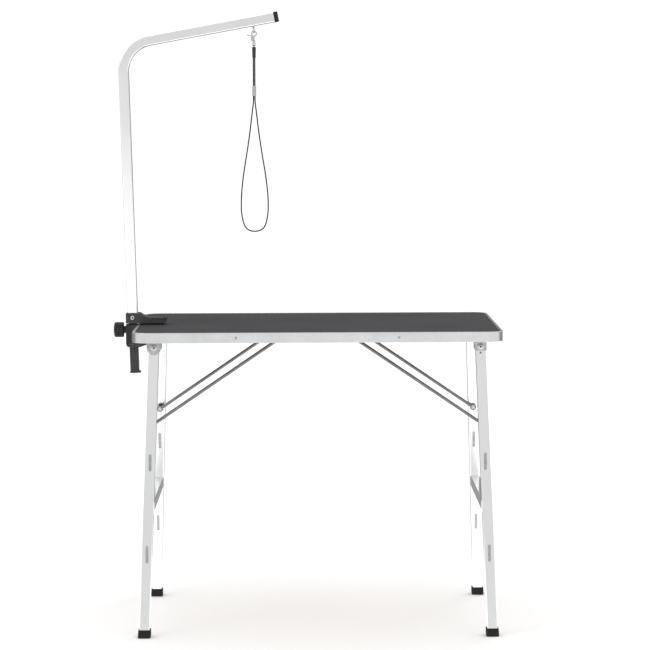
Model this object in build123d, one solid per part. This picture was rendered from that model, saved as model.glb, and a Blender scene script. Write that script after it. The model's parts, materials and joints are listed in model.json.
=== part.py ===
from build123d import *
import os
from math import cos, radians, sin, tan

# Folding grooming table with a clamp-on arm and a hanging noose. Millimetres.
# The design frame has X along the top, Y towards the back and Z up, with X and Y zero at
# the middle of the top and Z zero on the floor. Side -1 is the end with the arm, and row
# -1 is the front. Everything is moved by ORIGIN_SHIFT when it is written, so that the
# origin stands under the middle of the whole object.

LEFT, RIGHT = -1, 1
FRONT, REAR = -1, 1

# --- table top ---
TABLE_LENGTH = 914.0
TABLE_WIDTH = 610.0
TABLE_HEIGHT = 762.0
TABLE_CORNER = 40.0
TRIM_HEIGHT = 25.0
TRIM_WALL = 1.6
TRIM_TOP_LIP = 7.0
TRIM_BOTTOM_LIP = 10.0
TRIM_EDGE_ROUND = 1.2
TRIM_SEAM = 0.6
TRIM_SEAM_X = 140.0
MAT_THICKNESS = 3.0
TRIM_SCREW_X = 200.0
TRIM_SCREW_HEAD = 3.6
TRIM_SCREW_HEAD_HEIGHT = 1.5
TRIM_SCREW_LENGTH = 16.0
WOOD_SCREW_RADIUS = 1.8
WOOD_SCREW_HEAD = 3.6
WOOD_SCREW_HEAD_HEIGHT = 2.0
WOOD_SCREW_DEPTH = 12.0

# --- hinges of the leg frames ---
HINGE_INSET = 49.5
HINGE_EDGE_GAP = 131.0
PIVOT_DROP = 23.0
BRACKET_SHEET = 2.5
BRACKET_INSIDE = 32.0
BRACKET_BASE_LENGTH = 64.0
BRACKET_SCREW_X = 25.0
BRACKET_SCREW_Y = 9.0
LEFT_CHEEK_RADIUS = 18.0
RIGHT_CHEEK_WIDTH = 30.0
RIGHT_CHEEK_BELOW = 11.0
RIGHT_CHEEK_CORNER = 4.0
PIVOT_RADIUS = 4.0
PIVOT_HEAD_RADIUS = 6.0
PIVOT_HEAD_HEIGHT = 3.0
PIVOT_NUT_RADIUS = 7.0
PIVOT_NUT_HEIGHT = 6.0
RUNNING_FIT = 0.06

# --- leg frames ---
LEG_SIZE = 25.0
LEG_WALL = 1.5
LEG_CORNER = 2.5
LEG_LEAN = 25.5
LEG_SPLAY = 97.0
LEG_ABOVE_PIVOT = 11.5
CROSSBAR_Z = 318.0
SLOT_LENGTH = 42.0
SLOT_WIDTH = 7.0
SLOT_FROM_CROSSBAR = 113.0
FOOT_SIZE = 31.0
FOOT_HEIGHT = 20.0
FOOT_SOLE = 5.0
FOOT_CORNER = 4.0
FOOT_FIT = 0.1
PLUG_LENGTH = 42.0
PLUG_FIT = 0.1
PLUG_RIVET_DROP = 16.0
PLUG_RIVET_RADIUS = 2.4
PLUG_RIVET_HEAD = 4.0
PLUG_RIVET_HEAD_HEIGHT = 1.0

# --- stays ---
STAY_PIVOT_DROP = 196.5
STAY_RADIUS = 4.0
STAY_EYE_RADIUS = 8.0
STAY_EYE_THICKNESS = 6.0
STAY_BOLT_RADIUS = 3.0
STAY_BOLT_HEAD = 5.0
STAY_BOLT_HEAD_HEIGHT = 3.5
STAY_BOLT_INSIDE = 9.0
STAY_SPACER_RADIUS = 5.5
STAY_SIDE_GAP = 0.3
STAY_ROD_START = 6.9
LEFT_STAY_Y = 171.0
RIGHT_STAY_Y = 183.0
STAY_NUT_RADIUS = 4.5
STAY_HOOK_LENGTH = 18.0
CATCH_X = 100.0
CATCH_SHEET = 1.8
CATCH_WIDTH = 12.0
CATCH_CLEARANCE = 0.5
CATCH_BASE_LENGTH = 36.0
CATCH_SCREWS_X = (15.0, 28.0)
CATCH_LIP_ANGLE = 68.0

# --- arm clamp: stem and jaws ---
CLAMP_Y = -22.0
STEM_SIZE = 22.0
STEM_EDGE_GAP = 2.0
ARM_TILT = 1.58
STEM_BELOW_TOP = 121.5
STEM_ABOVE_TOP = 100.0
STEM_CORNER = 1.5
STOP_LENGTH = 27.0
STOP_WIDTH = 25.0
STOP_THICKNESS = 4.0
STOP_OFFSET = 1.5
UPPER_JAW_WIDTH = 50.0
UPPER_JAW_HEIGHT = 25.0
UPPER_JAW_OUTER = 17.5
JAW_REACH = 73.0
TONGUE_THICKNESS = 13.0
TONGUE_TIP_RISE = 3.0
PAD_THICKNESS = 3.0
JAW_FIT = 0.15
CROSS_BOLT_RADIUS = 3.0
CROSS_BOLT_HEAD = 5.5
CROSS_BOLT_HEAD_HEIGHT = 3.5
CROSS_BOLT_ABOVE_TOP = 17.0
LOWER_JAW_WIDTH = 40.0
LOWER_JAW_GAP = 1.5
LOWER_JAW_BELOW = 59.0
LOWER_JAW_WALL = 4.5
LOWER_JAW_HEEL = 9.0
FINGER_TIP_THICKNESS = 7.0

# --- clamp knob ---
KNOB_DROP = 15.0
KNOB_RADIUS = 19.5
KNOB_WIDTH = 24.0
KNOB_LOBES = 6
KNOB_LOBE_CUT = 6.0
KNOB_NECK_RADIUS = 9.3
KNOB_NECK_LENGTH = 6.0
KNOB_GAP = 0.6
KNOB_STUD_RADIUS = 4.0
KNOB_TRAVEL = 2.5
INSERT_RADIUS = 6.5
INSERT_LENGTH = 7.0
PRESSURE_PAD_RADIUS = 5.5
PRESSURE_PAD_THICKNESS = 2.2
PRESSURE_PAD_GAP = 0.15

# --- arm ---
TUBE_SIZE = 25.4
TUBE_WALL = 1.5
TUBE_CORNER = 3.0
TUBE_START = 6.0
POST_CORNER_HEIGHT = 708.0
ARM_LENGTH = 390.0
ARM_RISE = 8.77
BEND_RADIUS = 80.0
CAP_LENGTH = 11.0
CAP_OVERHANG = 0.4
CAP_PLUG = 14.0

# --- eye bolt and snap hook ---
EYE_FROM_END = 56.0
EYE_RING_RADIUS = 6.0
EYE_WIRE = 1.8
EYE_SHANK_RADIUS = 2.5
EYE_SHANK_BELOW = 4.0
EYE_SHANK_INSIDE = 12.0
RIVET_NUT_RADIUS = 4.0
RIVET_NUT_FLANGE = 6.0
RIVET_NUT_FLANGE_HEIGHT = 0.8
HOOK_RADIUS = 6.2
HOOK_WIRE = 1.7
HOOK_HANG = 0.1
HOOK_TIP_RISE = 2.2
BARREL_RADIUS = 4.6
BARREL_OFFSET = 3.2
BARREL_TOP = -8.0
BARREL_LENGTH = 13.0
BARREL_BORE = 2.0
SNAP_BOLT_OFFSET = 5.0
SNAP_BOLT_RADIUS = 1.6
SNAP_COLLAR_RADIUS = 1.85
SNAP_COLLAR_HEIGHT = 1.5
SNAP_TRAVEL = 4.0
SNAP_GUIDE = 3.0
SNAP_FIT = 0.08
SNAP_TIP_GAP = 0.15
THUMB_STUD_RADIUS = 0.9
THUMB_STUD_LENGTH = 11.0
THUMB_BUTTON_RADIUS = 1.6
THUMB_BUTTON_LENGTH = 2.4
SPRING_RADIUS = 1.5
SPRING_WIRE = 0.25
SPRING_LENGTH = 6.8
SPRING_TURNS = 5
SWIVEL_SOCKET_RADIUS = 3.6
SWIVEL_SOCKET_HEIGHT = 5.0
SWIVEL_SHANK_RADIUS = 1.4
SWIVEL_HEAD_RADIUS = 2.2
SWIVEL_HEAD_HEIGHT = 1.0
SWIVEL_FIT = 0.06
SWIVEL_RING_RADIUS = 3.6
SWIVEL_WIRE = 1.2
SWIVEL_GAP = 0.5

# --- noose ---
CORD_DIAMETER = 3.2
STRAND_GAP = 0.3
FERRULE_LENGTH = 27.0
FERRULE_TOP_RADIUS = 4.9
FERRULE_BOTTOM_RADIUS = 4.2
FERRULE_EYE_THICKNESS = 2.4
FERRULE_EYE_RADIUS = 4.0
FERRULE_EYE_HOLE = 2.0
FERRULE_EYE_SLACK = 0.25
FERRULE_EYE_HEIGHT = 2.6
CORD_IN_FERRULE = 18.0
LOCK_LENGTH = 26.0
LOCK_WIDTH = 10.0
LOCK_DEPTH = 7.0
LOCK_CORNER = 2.5
LOCK_FIT = 0.08
LOCK_BELOW_FERRULE = 71.0
# The two strands of the loop below the slide, from the slide's foot to near the lowest
# point: sideways from the middle, and downwards. They are not quite even.
RIGHT_STRAND = [(5.6, 43), (11.2, 94), (19.5, 150), (29, 207), (34.5, 262), (33.5, 305), (22, 343)]
LEFT_STRAND = [(-6, 45), (-12, 97), (-21, 154), (-30.5, 211), (-35, 265), (-34, 307), (-21, 344)]
STRAND_FOOT = 15.0
BEND_SHARE = 0.45

# --- worked out from the sizes above ---
TRIM_BOTTOM = TABLE_HEIGHT - TRIM_HEIGHT
BOARD_BOTTOM = TRIM_BOTTOM + TRIM_WALL
MAT_TOP = TABLE_HEIGHT - TRIM_WALL
BOARD_TOP = MAT_TOP - MAT_THICKNESS
PIVOT_Z = BOARD_BOTTOM - PIVOT_DROP
HINGE_X = TABLE_LENGTH / 2 - HINGE_INSET
HINGE_Y = TABLE_WIDTH / 2 - HINGE_EDGE_GAP
STAY_PIVOT_Z = PIVOT_Z - STAY_PIVOT_DROP
STAY_HOOK_Z = BOARD_BOTTOM - CATCH_SHEET - CATCH_CLEARANCE - STAY_RADIUS
STEM_X = -TABLE_LENGTH / 2 - STEM_EDGE_GAP - STEM_SIZE / 2
JAW_OUTER_X = STEM_X - UPPER_JAW_OUTER
TONGUE_TIP_X = -TABLE_LENGTH / 2 + JAW_REACH
JAW_BOTTOM = TABLE_HEIGHT + PAD_THICKNESS
JAW_TOP = JAW_BOTTOM + UPPER_JAW_HEIGHT
KNOB_Z = TABLE_HEIGHT - KNOB_DROP
KNOB_OUTER_X = JAW_OUTER_X - KNOB_NECK_LENGTH - KNOB_GAP - KNOB_WIDTH
ORIGIN_SHIFT = -(KNOB_OUTER_X + TABLE_LENGTH / 2) / 2
POST_FRAME = Pos(STEM_X, CLAMP_Y, TABLE_HEIGHT) * Rot(0, -ARM_TILT, 0)
STAY_Y = {LEFT: LEFT_STAY_Y, RIGHT: RIGHT_STAY_Y}
SIDE_NAME = {LEFT: "left", RIGHT: "right"}
STRAND_X = (CORD_DIAMETER + STRAND_GAP) / 2


def box(x, y, z):
    """Box between two coordinates along each axis."""
    centre = Pos(sum(x) / 2, sum(y) / 2, sum(z) / 2)
    return centre * Box(abs(x[1] - x[0]), abs(y[1] - y[0]), abs(z[1] - z[0]))


def rod_x(x, y, z, radius):
    """Cylinder along X between x[0] and x[1]."""
    return Pos(sum(x) / 2, y, z) * Rot(0, 90, 0) * Cylinder(radius, abs(x[1] - x[0]))


def rod_y(x, y, z, radius):
    """Cylinder along Y between y[0] and y[1]."""
    return Pos(x, sum(y) / 2, z) * Rot(90, 0, 0) * Cylinder(radius, abs(y[1] - y[0]))


def rod_z(x, y, z, radius):
    """Cylinder along Z between z[0] and z[1]."""
    return Pos(x, y, sum(z) / 2) * Cylinder(radius, abs(z[1] - z[0]))


def join(solids):
    """One shape made of several solids that stay separate."""
    return Compound(children=[solid for shape in solids for solid in shape.solids()])


def cut(shape, *tools):
    """Shape with every solid of the tools taken away, one at a time."""
    for tool in tools:
        for solid in tool.solids():
            shape -= solid
    return shape


def slab_y(face, y):
    """Solid between two Y values from a face drawn with X and Z as its two coordinates."""
    return Pos(0, sum(y) / 2, 0) * extrude(Plane.XZ * face, amount=abs(y[1] - y[0]) / 2, both=True)


# --- table top ---

def top_slab(inset, z):
    """Slab with the outline of the top, moved in by an inset."""
    outline = RectangleRounded(TABLE_LENGTH - 2 * inset, TABLE_WIDTH - 2 * inset, TABLE_CORNER - inset)
    return Pos(0, 0, z[0]) * extrude(outline, amount=z[1] - z[0])


def edge_trim():
    trim = top_slab(0, (TRIM_BOTTOM, TABLE_HEIGHT))
    rims = [trim.faces().sort_by(Axis.Z)[end].outer_wire().edges() for end in (0, -1)]
    trim = fillet(rims[0] + rims[1], TRIM_EDGE_ROUND)
    trim -= top_slab(TRIM_WALL, (BOARD_BOTTOM, MAT_TOP))
    trim -= top_slab(TRIM_TOP_LIP, (MAT_TOP - 1, TABLE_HEIGHT + 1))
    trim -= top_slab(TRIM_BOTTOM_LIP, (TRIM_BOTTOM - 1, BOARD_BOTTOM + 1))
    back = TABLE_WIDTH / 2
    seam_x = (TRIM_SEAM_X - TRIM_SEAM / 2, TRIM_SEAM_X + TRIM_SEAM / 2)
    trim -= box(seam_x, (back - TRIM_BOTTOM_LIP - 1, back + 1), (TRIM_BOTTOM - 1, TABLE_HEIGHT + 1))
    return trim


def trim_screws():
    z = (TRIM_BOTTOM + TABLE_HEIGHT) / 2
    edge = TABLE_WIDTH / 2
    screws = []
    for side in (LEFT, RIGHT):
        for row in (FRONT, REAR):
            x = side * TRIM_SCREW_X
            head = rod_y(x, (row * edge, row * (edge + TRIM_SCREW_HEAD_HEIGHT)), z, TRIM_SCREW_HEAD)
            rim = head.faces().sort_by(Axis.Y)[0 if row == FRONT else -1].edges()
            head = fillet(rim, TRIM_SCREW_HEAD_HEIGHT * 0.6)
            shank = rod_y(x, (row * (edge - TRIM_SCREW_LENGTH), row * edge), z, WOOD_SCREW_RADIUS)
            screws.append(head + shank)
    return join(screws)


def under_screws(places, sheet):
    """Wood screws driven up through sheet metal under the board."""
    seat = BOARD_BOTTOM - sheet
    screws = []
    for x, y in places:
        head = rod_z(x, y, (seat - WOOD_SCREW_HEAD_HEIGHT, seat), WOOD_SCREW_HEAD)
        shank = rod_z(x, y, (seat, BOARD_BOTTOM + WOOD_SCREW_DEPTH), WOOD_SCREW_RADIUS)
        screws.append(head + shank)
    return join(screws)


def bracket_screw_places():
    offsets = [(a * BRACKET_SCREW_X, b * BRACKET_SCREW_Y) for a in (-1, 1) for b in (-1, 1)]
    corners = [(side * HINGE_X, row * HINGE_Y) for side in (LEFT, RIGHT) for row in (FRONT, REAR)]
    return [(x + dx, y + dy) for x, y in corners for dx, dy in offsets]


def catch_y(side):
    """Distance of a catch from the middle. Left hooks point inwards and right ones outwards."""
    return STAY_Y[side] + side * (STAY_RADIUS + STAY_HOOK_LENGTH) / 2


def catch_screw_places():
    places = []
    for side in (LEFT, RIGHT):
        for row in (FRONT, REAR):
            places += [(side * (CATCH_X + x), row * catch_y(side)) for x in CATCH_SCREWS_X]
    return places


# --- hinges ---

def hinge_bracket(side, row):
    y = row * HINGE_Y
    half = BRACKET_INSIDE / 2 + BRACKET_SHEET
    seat = BOARD_BOTTOM - BRACKET_SHEET
    base_x = (side * HINGE_X - BRACKET_BASE_LENGTH / 2, side * HINGE_X + BRACKET_BASE_LENGTH / 2)
    bracket = box(base_x, (y - half, y + half), (seat, BOARD_BOTTOM))
    for face in (-1, 1):
        cheek_y = (y + face * BRACKET_INSIDE / 2, y + face * half)
        if side == LEFT:
            reach = LEFT_CHEEK_RADIUS
            cheek = rod_y(side * HINGE_X, cheek_y, PIVOT_Z, reach)
            cheek_x = (side * HINGE_X - reach, side * HINGE_X + reach)
            cheek += box(cheek_x, cheek_y, (PIVOT_Z, BOARD_BOTTOM))
        else:
            reach = RIGHT_CHEEK_WIDTH / 2
            low = PIVOT_Z - RIGHT_CHEEK_BELOW
            cheek = box((side * HINGE_X - reach, side * HINGE_X + reach), cheek_y, (low, BOARD_BOTTOM))
            corners = cheek.edges().filter_by(Axis.Y).group_by(Axis.Z)[0]
            cheek = fillet(corners, RIGHT_CHEEK_CORNER)
        bracket += cheek
    bracket -= rod_y(side * HINGE_X, (y - half - 1, y + half + 1), PIVOT_Z, PIVOT_RADIUS)
    places = [(x, z) for x, z in bracket_screw_places() if abs(x - side * HINGE_X) < BRACKET_BASE_LENGTH]
    return cut(bracket, under_screws(places, BRACKET_SHEET))


def hinge_pivot(side, row):
    """Pivot bolt with its domed head outwards."""
    half = BRACKET_INSIDE / 2 + BRACKET_SHEET
    outer = row * (HINGE_Y + half)
    inner = row * (HINGE_Y - half - PIVOT_NUT_HEIGHT)
    head = rod_y(side * HINGE_X, (outer, outer + row * PIVOT_HEAD_HEIGHT), PIVOT_Z, PIVOT_HEAD_RADIUS)
    rim = head.faces().sort_by(Axis.Y)[0 if row == FRONT else -1].edges()
    head = fillet(rim, PIVOT_HEAD_HEIGHT * 0.7)
    return head + rod_y(side * HINGE_X, (inner, outer), PIVOT_Z, PIVOT_RADIUS)


def hinge_nut(side, row):
    seat = row * (HINGE_Y - BRACKET_INSIDE / 2 - BRACKET_SHEET)
    hexagon = RegularPolygon(PIVOT_NUT_RADIUS, 6)
    nut = Rot(90, 0, 0) * extrude(hexagon, amount=PIVOT_NUT_HEIGHT / 2, both=True)
    nut = Pos(side * HINGE_X, seat - row * PIVOT_NUT_HEIGHT / 2, PIVOT_Z) * nut
    return nut - hinge_pivot(side, row)


# --- leg frames ---

def leg_x(side, z):
    """X of a leg's middle line at a height."""
    return side * (HINGE_X + LEG_LEAN * (PIVOT_Z - z) / PIVOT_Z)


def leg_y(row, z):
    """Y of a leg's middle line at a height."""
    return row * (HINGE_Y + LEG_SPLAY * (PIVOT_Z - z) / PIVOT_Z)


def leaning_bar(side, row, size, corner, z):
    """Square bar that follows a leg, with level ends."""
    face = Pos(leg_x(side, z[0]), leg_y(row, z[0]), z[0]) * RectangleRounded(size, size, corner)
    run = Vector(leg_x(side, z[1]) - leg_x(side, z[0]), leg_y(row, z[1]) - leg_y(row, z[0]), z[1] - z[0])
    return extrude(face, amount=run.length, dir=run.normalized())


def leg_outside(side, row):
    return leaning_bar(side, row, LEG_SIZE, LEG_CORNER, (FOOT_SOLE, PIVOT_Z + LEG_ABOVE_PIVOT))


def leg_inside(side, row):
    size = LEG_SIZE - 2 * LEG_WALL
    corner = LEG_CORNER - LEG_WALL
    return leaning_bar(side, row, size, corner, (FOOT_SOLE - 1, PIVOT_Z + LEG_ABOVE_PIVOT + 1))


def pivot_bore(side, row, radius):
    y = leg_y(row, PIVOT_Z)
    return rod_y(side * HINGE_X, (y - LEG_SIZE, y + LEG_SIZE), PIVOT_Z, radius)


def plug_rivet(side, row):
    """Rivet through the tube and its plug, just below the hinge bracket's pivot."""
    z = PIVOT_Z - PLUG_RIVET_DROP
    y = leg_y(row, z)
    reach = LEG_SIZE / 2 + PLUG_RIVET_HEAD_HEIGHT
    heads = rod_y(leg_x(side, z), (y - reach, y + reach), z, PLUG_RIVET_HEAD) - leg_outside(side, row)
    return heads + rod_y(leg_x(side, z), (y - LEG_SIZE / 2, y + LEG_SIZE / 2), z, PLUG_RIVET_RADIUS)


def leg(side, row):
    tube = leg_outside(side, row) - leg_inside(side, row)
    tube -= pivot_bore(side, row, PIVOT_RADIUS + RUNNING_FIT)
    tube -= plug_rivet(side, row)
    tube -= stay_bolt(side, row)
    for end in (-1, 1):
        z = CROSSBAR_Z + end * SLOT_FROM_CROSSBAR
        slot = extrude(SlotOverall(SLOT_LENGTH, SLOT_WIDTH, rotation=90), amount=LEG_SIZE, both=True)
        tube -= Pos(leg_x(side, z), leg_y(row, z), z) * Rot(90, 0, 0) * slot
    return tube


def leg_plug(side, row):
    top = PIVOT_Z + LEG_ABOVE_PIVOT
    size = LEG_SIZE - 2 * LEG_WALL - 2 * PLUG_FIT
    plug = leaning_bar(side, row, size, LEG_CORNER - LEG_WALL, (top - PLUG_LENGTH, top))
    plug -= pivot_bore(side, row, PIVOT_RADIUS + RUNNING_FIT)
    return plug - plug_rivet(side, row)


def crossbar(side):
    x = leg_x(side, CROSSBAR_Z)
    reach = leg_y(REAR, CROSSBAR_Z)
    section = RectangleRounded(LEG_SIZE, LEG_SIZE, LEG_CORNER)
    section -= RectangleRounded(LEG_SIZE - 2 * LEG_WALL, LEG_SIZE - 2 * LEG_WALL, LEG_CORNER - LEG_WALL)
    bar = Pos(x, 0, CROSSBAR_Z) * Rot(90, 0, 0) * extrude(section, amount=reach, both=True)
    return bar - leg_outside(side, FRONT) - leg_outside(side, REAR)


def foot_cap(side, row):
    cap = leaning_bar(side, row, FOOT_SIZE, FOOT_CORNER, (0, FOOT_HEIGHT))
    rim = cap.faces().sort_by(Axis.Z)[-1].edges()
    cap = fillet(rim, (FOOT_SIZE - LEG_SIZE) / 4)
    socket_z = (FOOT_SOLE, FOOT_HEIGHT + 1)
    return cap - leaning_bar(side, row, LEG_SIZE + 2 * FOOT_FIT, LEG_CORNER, socket_z)


# --- stays ---

def stay_pivot(side):
    return leg_x(side, STAY_PIVOT_Z), STAY_PIVOT_Z


def stay_bolt(side, row):
    """Bolt from the inner face of a leg, with its head inwards."""
    x, z = stay_pivot(side)
    face = STAY_Y[side] - STAY_EYE_THICKNESS / 2 - STAY_SIDE_GAP
    wall = abs(leg_y(row, z)) - LEG_SIZE / 2
    head = rod_y(x, (row * (face - STAY_BOLT_HEAD_HEIGHT), row * face), z, STAY_BOLT_HEAD)
    return head + rod_y(x, (row * face, row * (wall + STAY_BOLT_INSIDE)), z, STAY_BOLT_RADIUS)


def stay_spacer(side, row):
    x, z = stay_pivot(side)
    face = STAY_Y[side] + STAY_EYE_THICKNESS / 2 + STAY_SIDE_GAP
    spacer = rod_y(x, (row * face, leg_y(row, z)), z, STAY_SPACER_RADIUS)
    return spacer - leg_outside(side, row) - stay_bolt(side, row)


def stay_rivet_nut(side, row):
    x, z = stay_pivot(side)
    wall = abs(leg_y(row, z)) - LEG_SIZE / 2
    nut = rod_y(x, (row * wall, row * (wall + STAY_BOLT_INSIDE)), z, STAY_NUT_RADIUS)
    return (nut & leg_inside(side, row)) - stay_bolt(side, row)


def stay(side, row):
    """Rod with an eye on the leg and a sideways hook that rests in its catch."""
    x, z = stay_pivot(side)
    run = Vector(side * CATCH_X - x, 0, STAY_HOOK_Z - z)
    y = row * STAY_Y[side]
    start = Vector(x, y, z) + run.normalized() * STAY_ROD_START
    rod = Plane(origin=start, z_dir=run.normalized()) * Circle(STAY_RADIUS)
    rod = extrude(rod, amount=run.length - STAY_ROD_START)
    rod += Pos(side * CATCH_X, y, STAY_HOOK_Z) * Sphere(STAY_RADIUS)
    rod += rod_y(side * CATCH_X, (y, y + row * side * STAY_HOOK_LENGTH), STAY_HOOK_Z, STAY_RADIUS)
    half = STAY_EYE_THICKNESS / 2
    eye = rod_y(x, (y - half, y + half), z, STAY_EYE_RADIUS)
    return rod + eye - rod_y(x, (y - half - 2, y + half + 2), z, STAY_BOLT_RADIUS + RUNNING_FIT)


def stay_catch(side, row):
    """Hook of bent sheet that is open towards the middle of the table."""
    inner = STAY_RADIUS + CATCH_CLEARANCE
    outer = inner + CATCH_SHEET
    far = 3 * outer
    x = side * CATCH_X
    middle = row * catch_y(side)
    y = (middle - CATCH_WIDTH / 2, middle + CATCH_WIDTH / 2)
    lip = side * far / tan(radians(CATCH_LIP_ANGLE))
    wedge = [(0, 0), (0, far), (side * far, far), (side * far, -far), (lip, -far)]
    ring = Circle(outer) - Circle(inner)
    hook = Pos(x, 0, STAY_HOOK_Z) * slab_y(ring & Polygon(*wedge, align=None), y)
    base = box((x, x + side * CATCH_BASE_LENGTH), y, (BOARD_BOTTOM - CATCH_SHEET, BOARD_BOTTOM))
    return cut(hook + base, under_screws(catch_screw_places(), CATCH_SHEET))


# --- arm clamp ---

def jaw_y(width):
    return CLAMP_Y - width / 2, CLAMP_Y + width / 2


def stem_bar(growth=0.0):
    """The square stem, or a grown copy of it for cutting passages."""
    size = STEM_SIZE + 2 * growth
    section = RectangleRounded(size, size, STEM_CORNER)
    stem = extrude(section, amount=STEM_BELOW_TOP + STEM_ABOVE_TOP)
    return POST_FRAME * Pos(0, 0, -STEM_BELOW_TOP) * stem


def cross_bolt():
    z = TABLE_HEIGHT + CROSS_BOLT_ABOVE_TOP
    front, back = jaw_y(UPPER_JAW_WIDTH)
    head = rod_y(STEM_X, (front - CROSS_BOLT_HEAD_HEIGHT, front), z, CROSS_BOLT_HEAD)
    head = fillet(head.faces().sort_by(Axis.Y)[0].edges(), CROSS_BOLT_HEAD_HEIGHT * 0.6)
    return head + rod_y(STEM_X, (front, back + CROSS_BOLT_HEAD_HEIGHT + 1.0), z, CROSS_BOLT_RADIUS)


def cross_nut():
    back = jaw_y(UPPER_JAW_WIDTH)[1]
    hexagon = RegularPolygon(CROSS_BOLT_HEAD + 0.3, 6)
    nut = Rot(90, 0, 0) * extrude(hexagon, amount=CROSS_BOLT_HEAD_HEIGHT / 2, both=True)
    nut = Pos(STEM_X, back + CROSS_BOLT_HEAD_HEIGHT / 2, TABLE_HEIGHT + CROSS_BOLT_ABOVE_TOP) * nut
    return nut - cross_bolt()


def upper_jaw():
    """Block round the foot of the arm, with a tongue whose tip turns up a little."""
    edge = -TABLE_LENGTH / 2
    tongue_top = JAW_BOTTOM + TONGUE_THICKNESS
    block_end = (edge + 5, JAW_TOP)
    neck = (edge + 17, tongue_top + 5)
    tongue_start = (edge + 33, tongue_top + 1)
    lift_start = (TONGUE_TIP_X - 9, tongue_top)
    tip_top = (TONGUE_TIP_X - 2.5, tongue_top + TONGUE_TIP_RISE)
    tip_low = (TONGUE_TIP_X - 4, JAW_BOTTOM)
    outline = Curve() + [
        Line((JAW_OUTER_X, JAW_BOTTOM), (JAW_OUTER_X, JAW_TOP)),
        Line((JAW_OUTER_X, JAW_TOP), block_end),
        ThreePointArc(block_end, neck, tongue_start),
        Line(tongue_start, lift_start),
        Line(lift_start, tip_top),
        ThreePointArc(tip_top, (TONGUE_TIP_X, tongue_top - 1), tip_low),
        Line(tip_low, (JAW_OUTER_X, JAW_BOTTOM)),
    ]
    jaw = slab_y(make_face(outline), jaw_y(UPPER_JAW_WIDTH))
    length = TONGUE_TIP_X - JAW_OUTER_X
    plan = Pos(JAW_OUTER_X + length / 2, CLAMP_Y, 0) * RectangleRounded(length, UPPER_JAW_WIDTH, 4.0)
    jaw &= extrude(plan, amount=JAW_TOP + 10)
    top = jaw.faces().filter_by(Axis.Z).sort_by(Axis.Z)[-1]
    jaw = fillet(top.outer_wire().edges().filter_by(Axis.X), 1.5)
    size = TUBE_SIZE + 2 * JAW_FIT
    socket = extrude(RectangleRounded(size, size, TUBE_CORNER), amount=2 * UPPER_JAW_HEIGHT)
    jaw -= POST_FRAME * Pos(0, 0, TUBE_START) * socket
    return jaw - stem_bar(JAW_FIT) - cross_bolt()


def upper_jaw_pad():
    start = -TABLE_LENGTH / 2 + TRIM_TOP_LIP + 2
    return box((start, TONGUE_TIP_X - 6), jaw_y(UPPER_JAW_WIDTH - 6), (MAT_TOP, JAW_BOTTOM))


def stem():
    return stem_bar() - cross_bolt() - stop_screw()


def stop_frame():
    return POST_FRAME * Pos(STOP_OFFSET, 0, -STEM_BELOW_TOP)


def stop_screw():
    screw = Cylinder(2.5, 16, align=(Align.CENTER, Align.CENTER, Align.MIN))
    head = Pos(0, 0, -STOP_THICKNESS) * Cylinder(4.5, 2.0, align=(Align.CENTER, Align.CENTER, Align.MAX))
    from_foot = (Align.CENTER, Align.CENTER, Align.MIN)
    neck = Pos(0, 0, -STOP_THICKNESS) * Cylinder(2.5, STOP_THICKNESS, align=from_foot)
    return POST_FRAME * Pos(0, 0, -STEM_BELOW_TOP) * (screw + neck + head)


def stem_end_stop():
    plate = extrude(RectangleRounded(STOP_LENGTH, STOP_WIDTH, 2.0), amount=-STOP_THICKNESS)
    return stop_frame() * plate - stop_screw()


def lower_jaw():
    """Collar round the stem below the edge of the top, with a tapering finger under it."""
    top = TABLE_HEIGHT - LOWER_JAW_GAP
    low = TABLE_HEIGHT - LOWER_JAW_BELOW
    under = TRIM_BOTTOM - PAD_THICKNESS
    inner = -TABLE_LENGTH / 2 - LOWER_JAW_GAP / 2
    tip = TONGUE_TIP_X
    outline = Polygon(
        (JAW_OUTER_X, low), (JAW_OUTER_X, top), (inner, top), (inner, under), (tip, under),
        (tip, under - FINGER_TIP_THICKNESS), (inner + LOWER_JAW_WALL, low),
        align=None,
    )
    jaw = slab_y(outline, jaw_y(LOWER_JAW_WIDTH))
    heel = jaw.edges().filter_by(Axis.Y).group_by(Axis.X)[0].sort_by(Axis.Z)[0]
    jaw = fillet(heel, LOWER_JAW_HEEL)
    nose = jaw.edges().filter_by(Axis.Y).group_by(Axis.X)[-1].sort_by(Axis.Z)[0]
    jaw = fillet(nose, FINGER_TIP_THICKNESS * 0.6)
    neck_x = (JAW_OUTER_X - KNOB_NECK_LENGTH, JAW_OUTER_X + 1)
    jaw += rod_x(neck_x, CLAMP_Y, KNOB_Z, KNOB_NECK_RADIUS)
    jaw -= stem_bar(JAW_FIT)
    jaw -= box((STEM_X, inner + 1), jaw_y(STEM_SIZE + 2 * JAW_FIT), (under, top + 1))
    jaw -= rod_x((neck_x[0] - 1, STEM_X), CLAMP_Y, KNOB_Z, KNOB_STUD_RADIUS + 0.5)
    jaw -= rod_x((neck_x[0] - 1, neck_x[0] + INSERT_LENGTH), CLAMP_Y, KNOB_Z, INSERT_RADIUS)
    pocket = stem_face_x() - 2 * PRESSURE_PAD_GAP - PRESSURE_PAD_THICKNESS - KNOB_TRAVEL
    return jaw - rod_x((pocket, STEM_X), CLAMP_Y, KNOB_Z, PRESSURE_PAD_RADIUS + 0.3)


def stem_face_x():
    """X of the stem's outer face at the lowest corner of the pressure pad."""
    drop = KNOB_DROP - PRESSURE_PAD_RADIUS
    return STEM_X + drop * tan(radians(ARM_TILT)) - STEM_SIZE / 2 / cos(radians(ARM_TILT))


def lower_jaw_pad():
    edge = -TABLE_LENGTH / 2
    pad_z = (TRIM_BOTTOM - PAD_THICKNESS, TRIM_BOTTOM)
    return box((edge + 1, TONGUE_TIP_X - 5), jaw_y(LOWER_JAW_WIDTH - 4), pad_z)


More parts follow.
